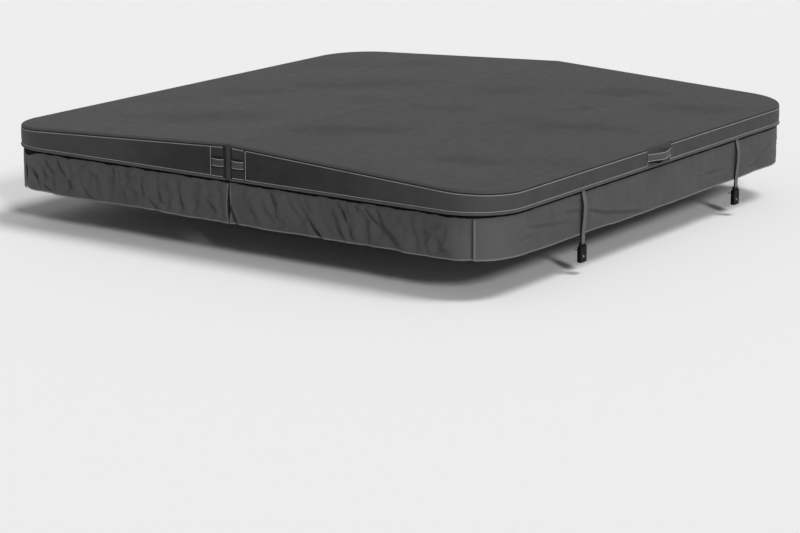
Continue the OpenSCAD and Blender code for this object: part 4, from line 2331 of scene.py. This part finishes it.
@dataclass
class TieDown:
    """A tie-down strap with its two-part locking clip, on each side at each end."""

    bow: float = 8.5 * MM
    web_t: float = 1.6 * MM
    # the clip's bar: its height, how tightly the strap turns, how far it comes back
    bar_z: float = -181 * MM
    bend: float = 2.8 * MM
    turned_up: float = 34 * MM
    # how wide a strip along its near edge is painted as shadow
    fold: float = 4.5 * MM

    def webbing(self, end: End, side: Side) -> None:
        """The strap: down from the welt, round the clip's bar, and sewn back up.

        Args:
            end: Which end of the fold.
            side: Which panel.
        """
        place, k, bend = f"{end.tag}_{side.tag}", side.value, self.bend
        node_name, body = f"webbing_{place}", f"strap_{place}"
        low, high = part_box(node_name)
        mid_y, width = (low.y + high.y) / 2, high.y - low.y
        web_x = min(abs(low.x), abs(high.x)) + 2 * MM + self.web_t / 2
        top, bottom = high.z - self.web_t / 2, self.bar_z
        bar_x = web_x + self.web_t / 2
        fall = stations(0, 1, 0.02)
        z = top + (bottom - top) * fall
        # it leaves the seam straight, so it clears the welt when it swings out
        gone = fall * (top - bottom)
        away = smooth(gone / 0.05) * smooth((top - bottom - gone) / 0.12)
        x = web_x + self.bow * away
        turn = np.linspace(np.pi, 2 * np.pi, 13)
        round_x, round_z = bar_x + bend * np.cos(turn), bottom + bend * np.sin(turn)
        back = np.linspace(0, 1, 9)
        back_z = bottom + self.turned_up * back
        front = np.interp(back_z, z[::-1], x[::-1]) + self.web_t + 0.15 * MM
        back_x = front + (round_x[-1] - front) * (1 - smooth(back / 0.35))
        x = np.r_[x[:-2], round_x[1:-1], back_x]
        z = np.r_[z[:-2], round_z[1:-1], back_z]
        path = stack(k * x, mid_y, z)
        way = directions(path)
        out = np.cross(way, every(ALONG, path))
        loop = rounded_loop(width, self.web_t, 0.75 * MM)
        # extra points across both faces give the painted shadow a crisp edge
        split = self.fold + np.array([0, 1.5]) * MM - width / 2
        for at, across, face in ((12, split, -1), (4, split[::-1], 1)):
            added = np.stack([across, np.full(2, face * self.web_t / 2)], axis=-1)
            loop = np.insert(loop, at, added, axis=0)
        made = sweep(f"tie_down_webbing_{place}", loop, path, every(ALONG, path), out)
        # a painted shadow along the webbing's near edge
        edge = points_of(made)[:, 1] - low.y
        tint(made, "painted_shadow", 1 - smooth((edge - self.fold) / (1.5 * MM)))
        dress(made, STRAP_WEBBING, body, [node_name], 60)
        y = np.arange(low.y + 4 * MM, high.y - 3 * MM, 4 * MM)
        face = k * (back_x[-3] + self.web_t / 2)
        rows = [stack(face, y, back_z[-1] - gone) for gone in (4 * MM, 12 * MM)]
        centre = np.concatenate(rows)
        sewn(
            f"webbing_bartacks_{place}",
            centre,
            every(ALONG, centre),
            every((k, 0, 0), centre),
            (3.6 * MM, 1.3 * MM),
            body,
            STRAP_THREAD,
        )

    def clip(self, end: End, side: Side) -> None:
        """The male clip, the receiver, its lock barrel and its screws.

        Args:
            end: Which end of the fold.
            side: Which panel.
        """
        place = f"{end.tag}_{side.tag}"
        for part, name, body, finish, bevel in (
            ("male_clip", "clip_insert", "strap", CLIP_ACETAL, 0.7),
            ("receiver", "clip_housing", "receiver", CLIP_ACETAL, 1.0),
            ("lock", "lock_barrel", "lock", LOCK_ZINC, 0.3),
            ("screws", "fixing_screws", "receiver", SCREW_STEEL, 0.2),
        ):
            made = refined(f"{part}_{place}", f"{name}_{place}", bevel * MM)
            dress(made, finish, f"{body}_{place}", [f"{part}_{place}"])

    def build(self) -> None:
        """Makes all four straps and clips."""
        for side in Side:
            for end in End:
                self.webbing(end, side)
                self.clip(end, side)


@dataclass
class Zipper:
    """The zippers under the panels that let the foam cores out."""

    pitch: float = 3.4 * MM

    def build(self) -> None:
        """Makes the tapes, coils, sliders and pulls."""
        for side in Side:
            self.tape(side)
            for part, name in (
                ("zip_slider", "slider_casting"),
                ("zip_pull", "pull_casting"),
            ):
                node_name = f"{part}_{side.tag}"
                made = refined(node_name, f"{name}_{side.tag}", 0.35 * MM)
                dress(made, ZIP_ZINC, node_name, [node_name])

    def tape(self, side: Side) -> None:
        """The woven tape and the coil along its middle.

        Args:
            side: Which panel.
        """
        low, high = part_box(f"zipper_{side.tag}")
        mid = (low.x + high.x) / 2
        y = stations(low.y, high.y, 30 * MM)
        tape = sweep(
            f"zip_tape_{side.tag}",
            rounded_loop(high.x - low.x, 0.75 * MM, 0.3 * MM),
            stack(mid, y, -0.4 * MM),
            every(ACROSS, y),
            every(UP, y),
        )
        dress(tape, ZIP_TAPE, side.body, [f"zipper_{side.tag}"], 60)
        at = np.arange(low.y + 8 * MM, high.y - 4 * MM, self.pitch)
        centre = stack(mid, at, -1.8 * MM)
        sewn(
            f"zip_coil_{side.tag}",
            centre,
            every(ACROSS, at),
            every(DOWN, at),
            (5.2 * MM, 2.6 * MM),
            side.body,
            COIL_NYLON,
        )


@dataclass
class Core:
    """What is inside the vinyl: foam, its vapour barrier and the steel channel."""

    plan: Plan
    pull_in: float = 1.3 * MM
    pull_down: float = 0.8 * MM
    ease: float = 7.5 * MM
    # points nearer to the edge or the top than this belong to its rim
    near: float = 3.2 * MM

    def eased(self, node_name: str, name: str) -> bpy.types.Object:
        """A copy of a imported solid, drawn in a little and rounded along its top rim.

        Args:
            node_name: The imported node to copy.
            name: The new piece's name.

        Returns:
            The new mesh object, which fits inside the rolled edge of the vinyl.
        """
        made = copied(node_name, name)
        points = points_of(made)
        inside, away = self.inside(points)
        top = points[:, 2] > self.plan.top(points[:, 0]) - self.near
        rim = inside < self.near
        points -= np.where(rim, self.pull_in, 0.0)[:, None] * away
        points[:, 2] -= np.where(top, self.pull_down, 0.0)
        set_points(made, points)
        corner = rim & top
        activate(made)
        bpy.ops.object.mode_set(mode="EDIT")
        bpy.ops.mesh.select_mode(type="EDGE")
        bpy.ops.mesh.select_all(action="DESELECT")
        bpy.ops.object.mode_set(mode="OBJECT")
        for edge in made.data.edges:
            edge.select = bool(corner[edge.vertices[0]] and corner[edge.vertices[1]])
        bpy.ops.object.mode_set(mode="EDIT")
        bpy.ops.mesh.bevel(
            offset=self.ease, offset_type="OFFSET", segments=4, affect="EDGES"
        )
        bpy.ops.object.mode_set(mode="OBJECT")
        return made

    def inside(self, points: Array) -> tuple[Array, Array]:
        """How far inside the band's face points lie, and which way is out.

        Args:
            points: The points.

        Returns:
            The distances and the outward directions.
        """
        plan = self.plan
        reach = np.array([plan.half_w, plan.half_l]) - plan.corner_r
        past = np.abs(points[:, :2]) - reach
        round_it = (past > 0).all(axis=1)
        flat = (past == past.max(axis=1, keepdims=True)).astype(float)
        way = np.where(round_it[:, None], np.maximum(past, 1e-9), flat)
        way /= np.linalg.norm(way, axis=1, keepdims=True)
        far = np.where(
            round_it, np.linalg.norm(np.maximum(past, 0), axis=1), past.max(axis=1)
        )
        away = np.zeros((len(points), 3))
        away[:, :2] = way * np.sign(points[:, :2])
        return plan.corner_r - far, away

    def build(self) -> None:
        """Makes the foam and its film, and finishes the steel channel."""
        for side in Side:
            for node_name, name, finish in (
                ("foam_core", "foam_block", FOAM),
                ("vapour_barrier", "film_wrap", BARRIER_FILM),
            ):
                made = self.eased(f"{node_name}_{side.tag}", f"{name}_{side.tag}")
                dress(made, finish, side.body, [f"{node_name}_{side.tag}"])
            channel = bpy.data.objects[f"steel_channel_{side.tag}"]
            channel.data.materials.clear()
            channel.data.materials.append(CHANNEL_STEEL.material())
            log.info("%s: %s", channel.name, CHANNEL_STEEL.name)


# ---- studio ----


@dataclass
class Setting:
    """The floor, the light and the camera."""

    camera_at: tuple[float, float, float] = (5.2319, -7.4726, 1.7543)
    azimuth: float = 35.2
    tilt: float = 13.98
    lens: float = 111.68
    key: float = 1.6
    front: float = 1.55
    fill: float = 0.23
    # a released clip slides this far down, and still clears the floor
    clip_travel: float = 42 * MM

    def floor(self) -> None:
        """A wide sheet of pale paper below the clips."""
        low = min(
            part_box(f"receiver_{end.tag}_{side.tag}")[0].z
            for end in End
            for side in Side
        )
        deselect()
        bpy.ops.mesh.primitive_plane_add(size=60, location=(0, 0, 0))
        paper = bpy.context.object
        paper.name = "studio_floor"
        points = points_of(paper)
        points[:, 2] = low - self.clip_travel
        set_points(paper, points)
        paper.data.materials.append(FLOOR_PAPER.material())

    def light(self) -> None:
        """A broad key from above, a harder light from the right, a white surround."""
        for name, energy, spread, way in (
            ("key_light", self.key, 22, (0.42, 0.12, 0.9)),
            ("front_light", self.front, 10, (0.74, -0.48, 0.47)),
        ):
            sun = bpy.data.lights.new(name, "SUN")
            sun.energy, sun.angle = energy, math.radians(spread)
            lamp = bpy.data.objects.new(name, sun)
            bpy.context.scene.collection.objects.link(lamp)
            lamp.rotation_mode = "QUATERNION"
            lamp.rotation_quaternion = Vector(way).to_track_quat("Z", "Y")
        world = bpy.data.worlds.new("white_surround")
        bpy.context.scene.world = world
        world.use_nodes = True
        tree = world.node_tree
        add = partial(node, tree)
        # white to the camera and in reflections, and dim as a light
        seen = add("ShaderNodeLightPath", output="Is Camera Ray")
        for kind in ("Is Glossy Ray", "Is Transmission Ray"):
            ray = add("ShaderNodeLightPath", output=kind)
            seen = add("ShaderNodeMath", (seen, ray), operation="MAXIMUM")
        back = tree.nodes["Background"]
        back.inputs["Color"].default_value = (1, 1, 1, 1)
        strength = add("ShaderNodeMapRange", (seen, 0.0, 1.0, self.fill, 1.0))
        tree.links.new(strength, back.inputs["Strength"])

    def camera(self) -> None:
        """A long lens, a little above the cover, off its front corner."""
        data = bpy.data.cameras.new("camera")
        data.lens, data.sensor_width = self.lens, 36.0
        data.clip_start, data.clip_end = 0.1, 200
        cam = bpy.data.objects.new("camera", data)
        bpy.context.scene.collection.objects.link(cam)
        a, e = math.radians(self.azimuth), math.radians(self.tilt)
        ahead = Vector(
            (-math.sin(a) * math.cos(e), math.cos(a) * math.cos(e), -math.sin(e))
        )
        cam.location = self.camera_at
        cam.rotation_mode = "QUATERNION"
        cam.rotation_quaternion = ahead.to_track_quat("-Z", "Y")
        bpy.context.scene.camera = cam

    def build(self) -> None:
        """Makes the floor, the lights and the camera."""
        self.camera()
        self.floor()
        self.light()
        bpy.context.scene.view_settings.view_transform = "Standard"


def main() -> None:
    """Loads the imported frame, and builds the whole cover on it."""
    logging.basicConfig(level=logging.INFO, format="%(name)s %(message)s")
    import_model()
    plan = Plan.from_frame()
    for part in (
        Setting(),
        TopSkin(plan),
        SideBand(plan),
        Underside(plan),
        HeatSealPad(plan),
        Skirt(plan),
        SideHandle(plan),
        FoldHandle(plan),
        TieDown(),
        Zipper(),
        Core(plan),
    ):
        part.build()
        log.info("built %s", type(part).__name__)


if __name__ == "__main__":
    main()
